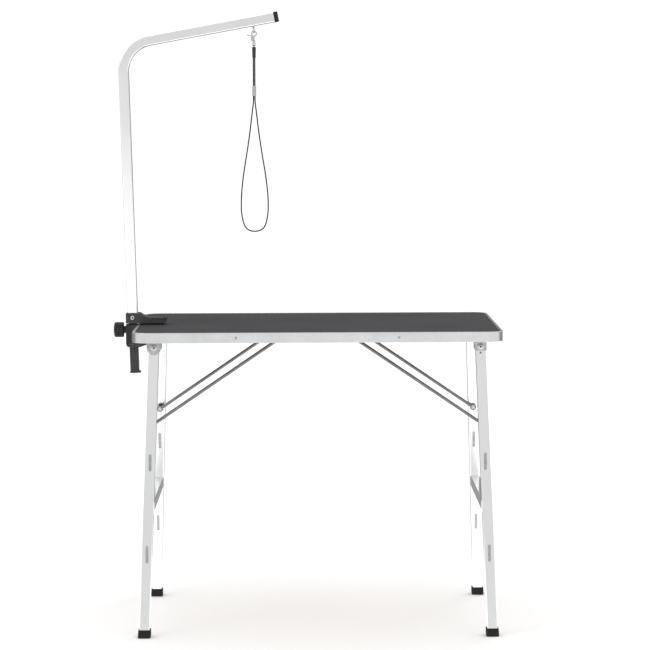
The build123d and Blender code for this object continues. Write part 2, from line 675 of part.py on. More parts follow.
def knob_insert():
    start = JAW_OUTER_X - KNOB_NECK_LENGTH
    insert = rod_x((start, start + INSERT_LENGTH), CLAMP_Y, KNOB_Z, INSERT_RADIUS)
    bore_x = (start - 1, start + INSERT_LENGTH + 1)
    return insert - rod_x(bore_x, CLAMP_Y, KNOB_Z, KNOB_STUD_RADIUS + RUNNING_FIT)


def pressure_pad():
    face = stem_face_x() - PRESSURE_PAD_GAP
    return rod_x((face - PRESSURE_PAD_THICKNESS, face), CLAMP_Y, KNOB_Z, PRESSURE_PAD_RADIUS)


def knob_stud():
    end = stem_face_x() - 2 * PRESSURE_PAD_GAP - PRESSURE_PAD_THICKNESS
    return rod_x((KNOB_OUTER_X + KNOB_WIDTH / 3, end), CLAMP_Y, KNOB_Z, KNOB_STUD_RADIUS)


def knob_grip():
    knob = rod_x((KNOB_OUTER_X, KNOB_OUTER_X + KNOB_WIDTH), CLAMP_Y, KNOB_Z, KNOB_RADIUS)
    for lobe in range(KNOB_LOBES):
        turn = Pos(0, CLAMP_Y, KNOB_Z) * Rot(360 / KNOB_LOBES * lobe, 0, 0)
        reach = KNOB_RADIUS + KNOB_LOBE_CUT * 0.45
        groove = Pos(0, 0, reach) * Rot(0, 90, 0) * Cylinder(KNOB_LOBE_CUT, KNOB_WIDTH * 3)
        knob -= turn * Pos(KNOB_OUTER_X, 0, 0) * groove
    knob = fillet(knob.faces().sort_by(Axis.X)[0].edges(), 4.0)
    knob = fillet(knob.faces().sort_by(Axis.X)[-1].edges(), 2.5)
    return knob - knob_stud()


# --- arm ---

def arm_path(start, end_trim=0.0):
    """Middle line of the arm in the frame of the post, from a height on the post."""
    rise = radians(ARM_RISE)
    reach = ARM_LENGTH - end_trim
    corner = (0, 0, POST_CORNER_HEIGHT)
    end = (reach * cos(rise), 0, POST_CORNER_HEIGHT + reach * sin(rise))
    return FilletPolyline((0, 0, start), corner, end, radius=BEND_RADIUS)


def arm_tube():
    section = RectangleRounded(TUBE_SIZE, TUBE_SIZE, TUBE_CORNER)
    bore_size = TUBE_SIZE - 2 * TUBE_WALL
    section -= RectangleRounded(bore_size, bore_size, TUBE_CORNER - TUBE_WALL)
    tube = POST_FRAME * sweep(Pos(0, 0, TUBE_START) * section, path=arm_path(TUBE_START))
    return tube - cross_bolt() - eye_bolt() - eye_bolt_rivet_nut()


def arm_end_frame(back=0.0):
    """Frame at the arm's free end, with Z along the arm and X towards its underside."""
    rise = radians(ARM_RISE)
    reach = ARM_LENGTH - back
    place = Pos(reach * cos(rise), 0, POST_CORNER_HEIGHT + reach * sin(rise))
    return POST_FRAME * place * Rot(0, 90 - ARM_RISE, 0)


def arm_end_cap():
    size = TUBE_SIZE + 2 * CAP_OVERHANG
    cap = extrude(RectangleRounded(size, size, TUBE_CORNER), amount=CAP_LENGTH)
    cap = fillet(cap.faces().sort_by(Axis.Z)[-1].edges(), 2.5)
    inner = TUBE_SIZE - 2 * TUBE_WALL - 0.2
    plug = extrude(RectangleRounded(inner, inner, TUBE_CORNER - TUBE_WALL), amount=-CAP_PLUG)
    return arm_end_frame() * (cap + plug)


# --- eye bolt, snap hook and swivel, hanging from the arm's underside ---

def eye_frame():
    """Frame on the underside of the arm, with Z along the arm and X down out of it."""
    return arm_end_frame(EYE_FROM_END) * Pos(TUBE_SIZE / 2, 0, 0)


def hang_point():
    """Middle of the eye's lowest wire, where the hook rests."""
    centre = eye_frame() * Pos(EYE_SHANK_BELOW + EYE_RING_RADIUS, 0, 0)
    return centre.position + Vector(0, 0, -EYE_RING_RADIUS)


def eye_bolt():
    shank_start = -TUBE_WALL - EYE_SHANK_INSIDE
    length = EYE_SHANK_BELOW + EYE_WIRE - shank_start
    shank = Pos(shank_start + length / 2, 0, 0) * Rot(0, 90, 0) * Cylinder(EYE_SHANK_RADIUS, length)
    shank = eye_frame() * shank
    point = hang_point()
    centre = (point.X, point.Y, point.Z + EYE_RING_RADIUS)
    ring = Pos(*centre) * Rot(0, 90, 0) * Torus(EYE_RING_RADIUS, EYE_WIRE)
    hole = Pos(*centre) * Rot(0, 90, 0) * Cylinder(EYE_RING_RADIUS - EYE_WIRE, 3 * EYE_WIRE)
    return shank - hole + ring


def eye_bolt_rivet_nut():
    body = Pos(-TUBE_WALL - 4, 0, 0) * Rot(0, 90, 0) * Cylinder(RIVET_NUT_RADIUS, 8 + 2 * TUBE_WALL)
    flange = Pos(RIVET_NUT_FLANGE_HEIGHT / 2, 0, 0) * Rot(0, 90, 0) * Cylinder(
        RIVET_NUT_FLANGE, RIVET_NUT_FLANGE_HEIGHT)
    return eye_frame() * (body + flange) - eye_bolt()


def hanging(x, y, z):
    """Place given from the point where the hook hangs."""
    return Pos(*hang_point()) * Pos(x, y, z)


def hook_ring_z():
    """Height of the middle of the hook's ring."""
    return EYE_WIRE + HOOK_WIRE + HOOK_HANG - HOOK_RADIUS


def drilled(x, z, radius):
    """Upright cylinder between two heights, given from the point where the hook hangs."""
    return hanging(x, 0, sum(z) / 2) * Cylinder(radius, abs(z[1] - z[0]))


def collar_top():
    return BARREL_TOP - SNAP_GUIDE


def spring_top():
    return collar_top() - SNAP_COLLAR_HEIGHT


def socket_bottom():
    return BARREL_TOP - BARREL_LENGTH - SWIVEL_SOCKET_HEIGHT + 1.5


def swivel_head_z():
    """Heights of the swivel's head inside its socket."""
    low = socket_bottom() + SWIVEL_SOCKET_HEIGHT / 2
    return low, low + SWIVEL_HEAD_HEIGHT


def thumb_stud_z():
    return BARREL_TOP + THUMB_STUD_RADIUS + 0.1


def snap_hook_body():
    """Hook whose tip meets the sliding bolt, above a barrel that holds bolt and spring."""
    z = hook_ring_z()
    size = 2 * (HOOK_RADIUS + HOOK_WIRE)
    ring = hanging(0, 0, z) * Rot(90, 0, 0) * Torus(HOOK_RADIUS, HOOK_WIRE)
    gate = Box(size / 2, size, size, align=(Align.MAX, Align.CENTER, Align.MAX))
    body = ring - hanging(0, 0, z + HOOK_TIP_RISE) * gate
    bottom = BARREL_TOP - BARREL_LENGTH
    body += drilled(-BARREL_OFFSET, (bottom, BARREL_TOP), BARREL_RADIUS)
    body += drilled(0, (socket_bottom(), socket_bottom() + SWIVEL_SOCKET_HEIGHT), SWIVEL_SOCKET_RADIUS)
    guide_z = (collar_top() - 1, BARREL_TOP + 1)
    body -= drilled(-SNAP_BOLT_OFFSET, guide_z, SNAP_BOLT_RADIUS + SNAP_FIT)
    body -= drilled(-SNAP_BOLT_OFFSET, (spring_top() - SPRING_LENGTH, collar_top()), BARREL_BORE)
    depth = SNAP_TRAVEL + 0.3
    slot = Box(size, 2 * THUMB_STUD_RADIUS + 0.4, depth, align=(Align.MAX, Align.CENTER, Align.MAX))
    body -= hanging(-SNAP_BOLT_OFFSET, 0, BARREL_TOP) * slot
    low, high = swivel_head_z()
    body -= drilled(0, (low - SWIVEL_FIT, high + 2 * SWIVEL_FIT), SWIVEL_HEAD_RADIUS + SWIVEL_FIT)
    return body - drilled(0, (socket_bottom() - 1, high), SWIVEL_SHANK_RADIUS + SWIVEL_FIT)


def snap_hook_bolt():
    top = hook_ring_z() + HOOK_TIP_RISE - SNAP_TIP_GAP
    bolt = drilled(-SNAP_BOLT_OFFSET, (collar_top(), top), SNAP_BOLT_RADIUS)
    bolt += drilled(-SNAP_BOLT_OFFSET, (spring_top(), collar_top()), SNAP_COLLAR_RADIUS)
    stud = Rot(0, 90, 0) * Cylinder(THUMB_STUD_RADIUS, THUMB_STUD_LENGTH)
    bolt += hanging(-SNAP_BOLT_OFFSET - THUMB_STUD_LENGTH / 2, 0, thumb_stud_z()) * stud
    button = Rot(0, 90, 0) * Cylinder(THUMB_BUTTON_RADIUS, THUMB_BUTTON_LENGTH)
    button = fillet(button.edges(), THUMB_BUTTON_LENGTH * 0.3)
    return bolt + hanging(-SNAP_BOLT_OFFSET - THUMB_STUD_LENGTH, 0, thumb_stud_z()) * button


def snap_hook_spring():
    height = SPRING_LENGTH - 2 * SPRING_WIRE
    coil = Helix(height / SPRING_TURNS, height, SPRING_RADIUS)
    wire = sweep(Plane(origin=coil @ 0, z_dir=coil % 0) * Circle(SPRING_WIRE), path=coil)
    return hanging(-SNAP_BOLT_OFFSET, 0, spring_top() - SPRING_LENGTH + SPRING_WIRE) * wire


def swivel_ring_z():
    return socket_bottom() - SWIVEL_GAP - SWIVEL_WIRE - SWIVEL_RING_RADIUS


def swivel_eye():
    low, high = swivel_head_z()
    z = swivel_ring_z()
    swivel = drilled(0, (low, high), SWIVEL_HEAD_RADIUS)
    swivel += drilled(0, (z + SWIVEL_RING_RADIUS, low), SWIVEL_SHANK_RADIUS)
    return swivel + hanging(0, 0, z) * Rot(90, 0, 0) * Torus(SWIVEL_RING_RADIUS, SWIVEL_WIRE)


# --- noose ---

def ferrule_eye_z():
    """Height of the hole through which the ferrule hangs on the swivel's ring."""
    wire_top = swivel_ring_z() - SWIVEL_RING_RADIUS + SWIVEL_WIRE
    return wire_top + FERRULE_EYE_SLACK - FERRULE_EYE_HOLE


def ferrule_z():
    top = ferrule_eye_z() - FERRULE_EYE_HEIGHT
    return top - FERRULE_LENGTH, top


def strand_slot(z, growth):
    """Upright oval passage round the two strands."""
    slot = SlotCenterToCenter(2 * STRAND_X, CORD_DIAMETER + 2 * growth)
    return hanging(0, 0, z[0]) * extrude(slot, amount=z[1] - z[0])


def noose_ferrule():
    low, high = ferrule_z()
    cone = Cone(FERRULE_BOTTOM_RADIUS, FERRULE_TOP_RADIUS, FERRULE_LENGTH)
    ferrule = hanging(0, 0, (low + high) / 2) * cone
    eye = Rot(0, 90, 0) * Cylinder(FERRULE_EYE_RADIUS, FERRULE_EYE_THICKNESS)
    ferrule += hanging(0, 0, ferrule_eye_z()) * eye
    ferrule -= strand_slot((low - 1, low + CORD_IN_FERRULE), 0)
    hole = Rot(0, 90, 0) * Cylinder(FERRULE_EYE_HOLE, 3 * FERRULE_TOP_RADIUS)
    return ferrule - hanging(0, 0, ferrule_eye_z()) * hole


def lock_z():
    top = ferrule_z()[0] - LOCK_BELOW_FERRULE
    return top - LOCK_LENGTH, top


def slide_lock():
    low, high = lock_z()
    block = extrude(RectangleRounded(LOCK_WIDTH, LOCK_DEPTH, LOCK_CORNER), amount=LOCK_LENGTH)
    block = fillet(block.faces().filter_by(Axis.Z).edges(), 1.0)
    block = hanging(0, 0, low) * block
    return block - strand_slot((low - 1, high + 1), LOCK_FIT)


def cord_points():
    """Corners of the cord's route, from the end of one strand to the end of the other."""
    origin = hang_point()
    inside = ferrule_z()[0] + CORD_IN_FERRULE
    foot = lock_z()[0]
    down = [(-STRAND_X, foot - STRAND_FOOT)] + [(x, foot - drop) for x, drop in LEFT_STRAND]
    up = [(STRAND_X, foot - STRAND_FOOT)] + [(x, foot - drop) for x, drop in RIGHT_STRAND]
    flat = [(-STRAND_X, inside)] + down + up[::-1] + [(STRAND_X, inside)]
    return [Vector(origin.X + x, origin.Y, origin.Z + z) for x, z in flat]


def cord_radii():
    """Radius at each corner of the cord's route."""
    points = cord_points()
    radii = []
    for before, here, after in zip(points, points[1:], points[2:]):
        first, second = here - before, after - here
        shorter = min(first.length, second.length)
        half_turn = radians(first.get_angle(second)) / 2
        radii.append(BEND_SHARE * shorter / tan(half_turn))
    return radii


def cord_path():
    return FilletPolyline(*cord_points(), radius=cord_radii())


def noose_cord():
    path = cord_path()
    section = Plane(origin=path @ 0, z_dir=path % 0) * Circle(CORD_DIAMETER / 2)
    return sweep(section, path=path)


# --- sets of pieces and export ---

def leg_frame_pieces(side):
    """Pieces of one pair of legs by name."""
    name = SIDE_NAME[side]
    rows = (FRONT, REAR)
    return {
        f"{name}_front_leg": leg(side, FRONT),
        f"{name}_rear_leg": leg(side, REAR),
        f"{name}_crossbar": crossbar(side),
        f"{name}_foot_caps": join([foot_cap(side, row) for row in rows]),
        f"{name}_leg_top_plugs": join([leg_plug(side, row) for row in rows]),
        f"{name}_plug_rivets": join([plug_rivet(side, row) for row in rows]),
        f"{name}_stay_pivot_bolts": join([stay_bolt(side, row) for row in rows]),
        f"{name}_stay_spacers": join([stay_spacer(side, row) for row in rows]),
        f"{name}_stay_rivet_nuts": join([stay_rivet_nut(side, row) for row in rows]),
        f"{name}_front_stay": stay(side, FRONT),
        f"{name}_rear_stay": stay(side, REAR),
        f"{name}_hinge_brackets": join([hinge_bracket(side, row) for row in rows]),
        f"{name}_stay_catches": join([stay_catch(side, row) for row in rows]),
    }


def table_pieces():
    corners = [(side, row) for side in (LEFT, RIGHT) for row in (FRONT, REAR)]
    bracket_screws = under_screws(bracket_screw_places(), BRACKET_SHEET)
    catch_screws = under_screws(catch_screw_places(), CATCH_SHEET)
    side_screws = trim_screws()
    board = top_slab(TRIM_WALL, (BOARD_BOTTOM, BOARD_TOP))
    return {
        "table_board": cut(board, bracket_screws, catch_screws, side_screws),
        "rubber_mat": top_slab(TRIM_WALL, (BOARD_TOP, MAT_TOP)),
        "edge_trim": cut(edge_trim(), side_screws),
        "trim_screws": side_screws,
        "hinge_bracket_screws": bracket_screws,
        "catch_screws": catch_screws,
        "hinge_pivot_bolts": join([hinge_pivot(side, row) for side, row in corners]),
        "hinge_pivot_nuts": join([hinge_nut(side, row) for side, row in corners]),
    }


def arm_pieces():
    return {
        "upper_jaw": upper_jaw(),
        "upper_jaw_pad": upper_jaw_pad(),
        "clamp_stem": stem(),
        "stem_end_stop": stem_end_stop(),
        "stem_stop_screw": stop_screw(),
        "jaw_cross_bolt": cross_bolt(),
        "jaw_cross_nut": cross_nut(),
        "arm_tube": arm_tube(),
        "arm_end_cap": arm_end_cap(),
        "eye_bolt": eye_bolt(),
        "eye_bolt_rivet_nut": eye_bolt_rivet_nut(),
        "lower_jaw": lower_jaw(),
        "lower_jaw_pad": lower_jaw_pad(),
        "knob_insert": knob_insert(),
        "pressure_pad": pressure_pad(),
        "knob_grip": knob_grip(),
        "knob_stud": knob_stud(),
    }


def noose_pieces():
    return {
        "snap_hook_body": snap_hook_body(),
        "snap_hook_spring": snap_hook_spring(),
        "snap_hook_bolt": snap_hook_bolt(),
        "swivel_eye": swivel_eye(),
        "noose_ferrule": noose_ferrule(),
        "noose_cord": noose_cord(),
        "slide_lock": slide_lock(),
    }


def all_pieces():
    pieces = {**table_pieces(), **leg_frame_pieces(LEFT), **leg_frame_pieces(RIGHT)}
    return {**pieces, **arm_pieces(), **noose_pieces()}


def main():
    os.makedirs("parts", exist_ok=True)
    for name, shape in all_pieces().items():
        export_step(Pos(ORIGIN_SHIFT, 0, 0) * shape, f"parts/{name}.step")
    path = cord_path()
    print("cord radii", [round(radius, 1) for radius in cord_radii()])
    print("cord length", round(path.length, 1))


if __name__ == "__main__":
    main()
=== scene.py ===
import json
import logging
from dataclasses import dataclass, field
from enum import Enum
from math import cos, pi, radians, sin
from typing import Sequence

import bmesh
import bpy
from mathutils import Matrix, Vector


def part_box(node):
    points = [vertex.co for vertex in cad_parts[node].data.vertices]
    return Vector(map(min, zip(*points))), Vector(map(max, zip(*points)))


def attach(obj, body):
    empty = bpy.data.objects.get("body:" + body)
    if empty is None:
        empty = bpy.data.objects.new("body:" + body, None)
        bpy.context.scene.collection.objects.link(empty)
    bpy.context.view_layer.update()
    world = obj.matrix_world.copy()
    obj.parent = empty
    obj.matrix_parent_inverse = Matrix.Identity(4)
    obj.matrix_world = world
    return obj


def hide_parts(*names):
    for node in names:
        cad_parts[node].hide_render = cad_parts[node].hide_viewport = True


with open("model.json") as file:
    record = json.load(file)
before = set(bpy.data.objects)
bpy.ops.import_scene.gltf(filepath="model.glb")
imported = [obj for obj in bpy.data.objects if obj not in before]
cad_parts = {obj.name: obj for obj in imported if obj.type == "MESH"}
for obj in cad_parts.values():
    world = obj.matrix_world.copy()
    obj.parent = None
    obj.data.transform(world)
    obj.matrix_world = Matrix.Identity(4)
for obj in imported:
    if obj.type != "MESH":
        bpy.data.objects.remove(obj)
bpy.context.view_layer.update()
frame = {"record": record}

LOG = logging.getLogger("grooming_table")
BLOCK = bpy.types.NodeTree
SOCKET = bpy.types.NodeSocket
Node = bpy.types.Node
Piece = bpy.types.Object
Mesh = bmesh.types.BMesh
Verts = list[bmesh.types.BMVert]
Edges = Sequence[bmesh.types.BMEdge]
Colour = tuple[float, float, float]
Place = tuple[float, float, float]

MERGE_DISTANCE = 1e-6  # metres
SHARP_ANGLE = 1.0  # radians between two faces, past which their edge counts as sharp
ROUNDED_SHARE = 0.3  # how much of a thin piece's thickness its edge rounding takes


class Hand(Enum):
    """The two ends of the table; the arm clamps on the left one."""

    LEFT = "left"
    RIGHT = "right"


class Row(Enum):
    """The two long sides of the table."""

    FRONT = "front"
    REAR = "rear"


class Pattern(Enum):
    """Which fine relief a finish carries."""

    BRUSHED = "brushed"
    PEBBLED = "pebbled"
    GRAINED = "grained"
    BRAIDED = "braided"
    SMOOTH = "smooth"


# --- shader nodes and groups ---


def fill(node: Node, values: dict[str, object]) -> None:
    """Set some inputs of a node by their labels."""
    for label, value in values.items():
        node.inputs[label].default_value = value


def combine(tree: BLOCK, operation: str, first: SOCKET | float, second: SOCKET | float) -> SOCKET:
    """Combine two values in a Math node.

    Args:
        tree: the nodes to add to.
        operation: name of the Math node's operation.
        first: socket or number.
        second: socket or number.

    Returns:
        The result's socket.
    """
    made = tree.nodes.new("ShaderNodeMath")
    made.operation = operation
    for index, value in enumerate((first, second)):
        if isinstance(value, (int, float)):
            made.inputs[index].default_value = value
        else:
            tree.links.new(value, made.inputs[index])
    return made.outputs[0]


class ShaderGroup:
    """A node group with named inputs and outputs, made with links between its own nodes."""

    def __init__(self, name: str, inputs: dict[str, float], output: str) -> None:
        """Make an empty group.

        Args:
            name: name of the group.
            inputs: float inputs and their usual values.
            output: name of its output, a float.
        """
        self.tree = bpy.data.node_groups.new(name, "ShaderNodeTree")
        for label, value in inputs.items():
            self._socket(label, "INPUT").default_value = value
        self._socket(output, "OUTPUT")
        self.source = self.tree.nodes.new("NodeGroupInput")
        self.result = self.tree.nodes.new("NodeGroupOutput")

    def _socket(self, label: str, side: str) -> bpy.types.NodeTreeInterfaceSocket:
        """Add a float socket to the group's inputs or outputs."""
        return self.tree.interface.new_socket(label, in_out=side, socket_type="NodeSocketFloat")

    def node(self, kind: str, **values: object) -> Node:
        """Add a node and set its plain properties.

        Args:
            kind: Blender's name for the node type.
            **values: properties of the node.

        Returns:
            The new node.
        """
        made = self.tree.nodes.new(kind)
        for key, value in values.items():
            setattr(made, key, value)
        return made

    def link(self, start: SOCKET, end: SOCKET) -> None:
        """Join two sockets."""
        self.tree.links.new(start, end)

    def place(self) -> SOCKET:
        """Return the object coordinates of the point being shaded."""
        return self.node("ShaderNodeTexCoord").outputs["Object"]

    def noise(self, where: SOCKET, frequency: str, detail: float = 2.0) -> SOCKET:
        """Add soft noise.

        Args:
            where: socket of the place.
            frequency: label of the group's input that sets how fine it is.
            detail: how many finer layers it has.

        Returns:
            The socket of its value.
        """
        made = self.node("ShaderNodeTexNoise")
        made.inputs["Detail"].default_value = detail
        self.link(where, made.inputs["Vector"])
        self.link(self.source.outputs[frequency], made.inputs["Scale"])
        return made.outputs["Fac"]

    def math(self, operation: str, first: SOCKET | float, second: SOCKET | float) -> SOCKET:
        """Combine two values of the group and return the result's socket."""
        return combine(self.tree, operation, first, second)


def mottle_group() -> BLOCK:
    """Slow uneven patches, for colour and gloss that are never quite even.

    Returns:
        The node group, with the output Mask from 0 to 1.
    """
    inputs = {"Patches per metre": 30.0, "Contrast": 1.0}
    group = ShaderGroup("mottle", inputs, "Mask")
    centred = group.math("SUBTRACT", group.noise(group.place(), "Patches per metre", 4.0), 0.5)
    scaled = group.math("MULTIPLY", centred, group.source.outputs["Contrast"])
    group.link(group.math("ADD", scaled, 0.5), group.result.inputs["Mask"])
    return group.tree


def brushing_group() -> BLOCK:
    """Fine lines along the axis with the smallest stretch, as drawn or brushed metal has.

    Returns:
        The node group, with the output Height.
    """
    inputs = {"Lines per metre": 900.0, "Stretch X": 1.0, "Stretch Y": 1.0, "Stretch Z": 1.0}
    group = ShaderGroup("brushing", inputs, "Height")
    stretch = group.node("ShaderNodeCombineXYZ")
    for axis in "XYZ":
        group.link(group.source.outputs[f"Stretch {axis}"], stretch.inputs[axis])
    product = group.node("ShaderNodeVectorMath", operation="MULTIPLY")
    group.link(group.place(), product.inputs[0])
    group.link(stretch.outputs[0], product.inputs[1])
    lines = group.noise(product.outputs[0], "Lines per metre", 3.0)
    group.link(lines, group.result.inputs["Height"])
    return group.tree


def pebble_group() -> BLOCK:
    """Small rounded cells, as in moulded plastic, powder coat and rubber matting.

    Returns:
        The node group, with the output Height.
    """
    group = ShaderGroup("pebble", {"Cells per metre": 700.0}, "Height")
    cells = group.node("ShaderNodeTexVoronoi", feature="SMOOTH_F1")
    cells.inputs["Smoothness"].default_value = 0.6
    group.link(group.place(), cells.inputs["Vector"])
    group.link(group.source.outputs["Cells per metre"], cells.inputs["Scale"])
    group.link(cells.outputs["Distance"], group.result.inputs["Height"])
    return group.tree


def wear_group() -> BLOCK:
    """Rubbed edges and corners, from how sharply the surface bends.

    Returns:
        The node group, with the output Mask from 0 to 1.
    """
    inputs = {"Amount": 0.5, "Breaks per metre": 120.0}
    group = ShaderGroup("wear", inputs, "Mask")
    geometry = group.node("ShaderNodeNewGeometry")
    edge = group.node("ShaderNodeMapRange")
    fill(edge, {"From Min": 0.52, "From Max": 0.62})
    group.link(geometry.outputs["Pointiness"], edge.inputs["Value"])
    breaks = group.noise(group.place(), "Breaks per metre")
    broken = group.math("MULTIPLY", edge.outputs["Result"], breaks)
    rubbed = group.math("MULTIPLY", broken, group.source.outputs["Amount"])
    group.link(rubbed, group.result.inputs["Mask"])
    return group.tree


def grain_group() -> BLOCK:
    """Long wood figure along X.

    Returns:
        The node group, with the output Height.
    """
    group = ShaderGroup("wood_grain", {"Bands per metre": 90.0}, "Height")
    stretch = group.node("ShaderNodeMapping")
    stretch.inputs["Scale"].default_value = (0.06, 1.0, 1.0)
    group.link(group.place(), stretch.inputs["Vector"])
    bands = group.noise(stretch.outputs[0], "Bands per metre", 8.0)
    group.link(bands, group.result.inputs["Height"])
    return group.tree


@dataclass
class GroupShelf:
    """The shader groups, each made once and shared by the finishes."""

    mottle: BLOCK = field(default_factory=mottle_group)
    brushing: BLOCK = field(default_factory=brushing_group)
    pebble: BLOCK = field(default_factory=pebble_group)
    wear: BLOCK = field(default_factory=wear_group)
    grain: BLOCK = field(default_factory=grain_group)


@dataclass(frozen=True)
class Finish:
    """One surface finish.

    Attributes:
        name: name of the material.
        slot: the record's material slot that it belongs to.
        colour: main colour.
        second: colour of the darker or lighter patches.
        worn: colour where edges are rubbed.
        metallic: how metallic the surface is.
        roughness: lowest and highest roughness.
        pattern: the fine relief.
        cells: relief cells or lines per metre, or the scale of a braid along its cord.
        relief: depth of the relief in metres.
        stretch: scale of the brushed lines along each axis; a small one draws them out.
        patches: slow patches per metre.
        wear: how much the edges are rubbed.
        contrast: how strongly the slow patches show.
        breaks: breaks per metre in the rubbed edges.
        coat: strength of a clear coat.
        coat_roughness: roughness of the clear coat.
        specular: how strongly a non-metal mirrors its surroundings.
    """

    name: str
    slot: str
    colour: Colour
    second: Colour
    worn: Colour
    metallic: float
    roughness: tuple[float, float]
    pattern: Pattern = Pattern.SMOOTH
    cells: float = 600.0
    relief: float = 0.00002
    stretch: tuple[float, float, float] = (1.0, 1.0, 1.0)
    patches: float = 25.0
    wear: float = 0.3
    contrast: float = 1.6
    breaks: float = 150.0
    coat: float = 0.0
    coat_roughness: float = 0.2
    specular: float = 0.5

    def build(self, shelf: GroupShelf) -> bpy.types.Material:
        """Make the material.

        Args:
            shelf: the shared shader groups.

        Returns:
            The material.
        """
        material = bpy.data.materials.new(self.name)
        material.use_nodes = True
        tree = material.node_tree
        shader = tree.nodes["Principled BSDF"]
        fill(shader, {"Metallic": self.metallic, "Specular IOR Level": self.specular,
                      "Coat Weight": self.coat, "Coat Roughness": self.coat_roughness})
        patches = {"Patches per metre": self.patches, "Contrast": self.contrast}
        mottle = self._group(tree, shelf.mottle, patches)
        base = self._mix(tree, mottle.outputs["Mask"], self.colour, self.second)
        rubbing = {"Amount": self.wear, "Breaks per metre": self.breaks}
        worn = self._group(tree, shelf.wear, rubbing)
        painted = self._mix(tree, worn.outputs["Mask"], base, self.worn)
        tree.links.new(painted, shader.inputs["Base Color"])
        gloss = tree.nodes.new("ShaderNodeMapRange")
        fill(gloss, dict(zip(("To Min", "To Max"), self.roughness)))
        tree.links.new(mottle.outputs["Mask"], gloss.inputs["Value"])
        tree.links.new(gloss.outputs["Result"], shader.inputs["Roughness"])
        height = self._height(tree, shelf)
        if height is not None:
            bump = tree.nodes.new("ShaderNodeBump")
            bump.inputs["Distance"].default_value = self.relief
            tree.links.new(height, bump.inputs["Height"])
            tree.links.new(bump.outputs["Normal"], shader.inputs["Normal"])
        return material

    def _group(self, tree: BLOCK, group: BLOCK, values: dict[str, float]) -> Node:
        """Place a shader group with its own values.

        Args:
            tree: the material's nodes.
            group: the group to place.
            values: values of its inputs.

        Returns:
            The group's node.
        """
        node = tree.nodes.new("ShaderNodeGroup")
        node.node_tree = group
        fill(node, values)
        return node

    def _mix(self, tree: BLOCK, mask: SOCKET, low: SOCKET | Colour, high: Colour) -> SOCKET:
        """Blend from one colour to another by a mask.

        Args:
            tree: the material's nodes.
            mask: socket of the mask.
            low: colour, or socket of a colour, where the mask is 0.
            high: colour where the mask is 1.

        Returns:
            The colour's socket.
        """
        mix = tree.nodes.new("ShaderNodeMix")
        mix.data_type = "RGBA"
        if isinstance(low, tuple):
            mix.inputs["A"].default_value = (*low, 1.0)
        else:
            tree.links.new(low, mix.inputs["A"])
        mix.inputs["B"].default_value = (*high, 1.0)
        tree.links.new(mask, mix.inputs["Factor"])
        return mix.outputs["Result"]

    def _height(self, tree: BLOCK, shelf: GroupShelf) -> SOCKET | None:
        """Return the socket of the relief's height, or None for a smooth finish."""
        if self.pattern is Pattern.SMOOTH:
            return None
        if self.pattern is Pattern.BRAIDED:
            return self._braid(tree)
        if self.pattern is Pattern.PEBBLED:
            group, values = shelf.pebble, {"Cells per metre": self.cells}
        elif self.pattern is Pattern.GRAINED:
            group, values = shelf.grain, {"Bands per metre": self.cells}
        else:
            group, values = shelf.brushing, {"Lines per metre": self.cells}
            values.update(zip(("Stretch X", "Stretch Y", "Stretch Z"), self.stretch))
        return self._group(tree, group, values).outputs["Height"]

    def _braid(self, tree: BLOCK) -> SOCKET:
        """Two crossing waves over the cord's own map, as a braided sleeve shows.

        Args:
            tree: the material's nodes.

        Returns:
            The height's socket.
        """
        where = tree.nodes.new("ShaderNodeTexCoord")
        waves = []
        for turn in (1, -1):
            mapping = tree.nodes.new("ShaderNodeMapping")
            mapping.inputs["Scale"].default_value = (self.cells, BRAID_ROUND * turn, 1.0)
            tree.links.new(where.outputs["UV"], mapping.inputs["Vector"])
            wave = tree.nodes.new("ShaderNodeTexWave")
            wave.bands_direction = "DIAGONAL"
            wave.inputs["Scale"].default_value = 1.0
            tree.links.new(mapping.outputs[0], wave.inputs["Vector"])
            waves.append(wave.outputs["Fac"])
        return combine(tree, "MAXIMUM", *waves)


BRAID_ROUND = 3.0  # scale of the braid round the cord
ALONG_X = (0.03, 1.0, 1.0)
ALONG_Y = (1.0, 0.03, 1.0)
ALONG_Z = (1.0, 1.0, 0.03)
ALONG_STAY = (0.15, 1.0, 0.15)
METAL = 1.0
NOT_METAL = 0.0

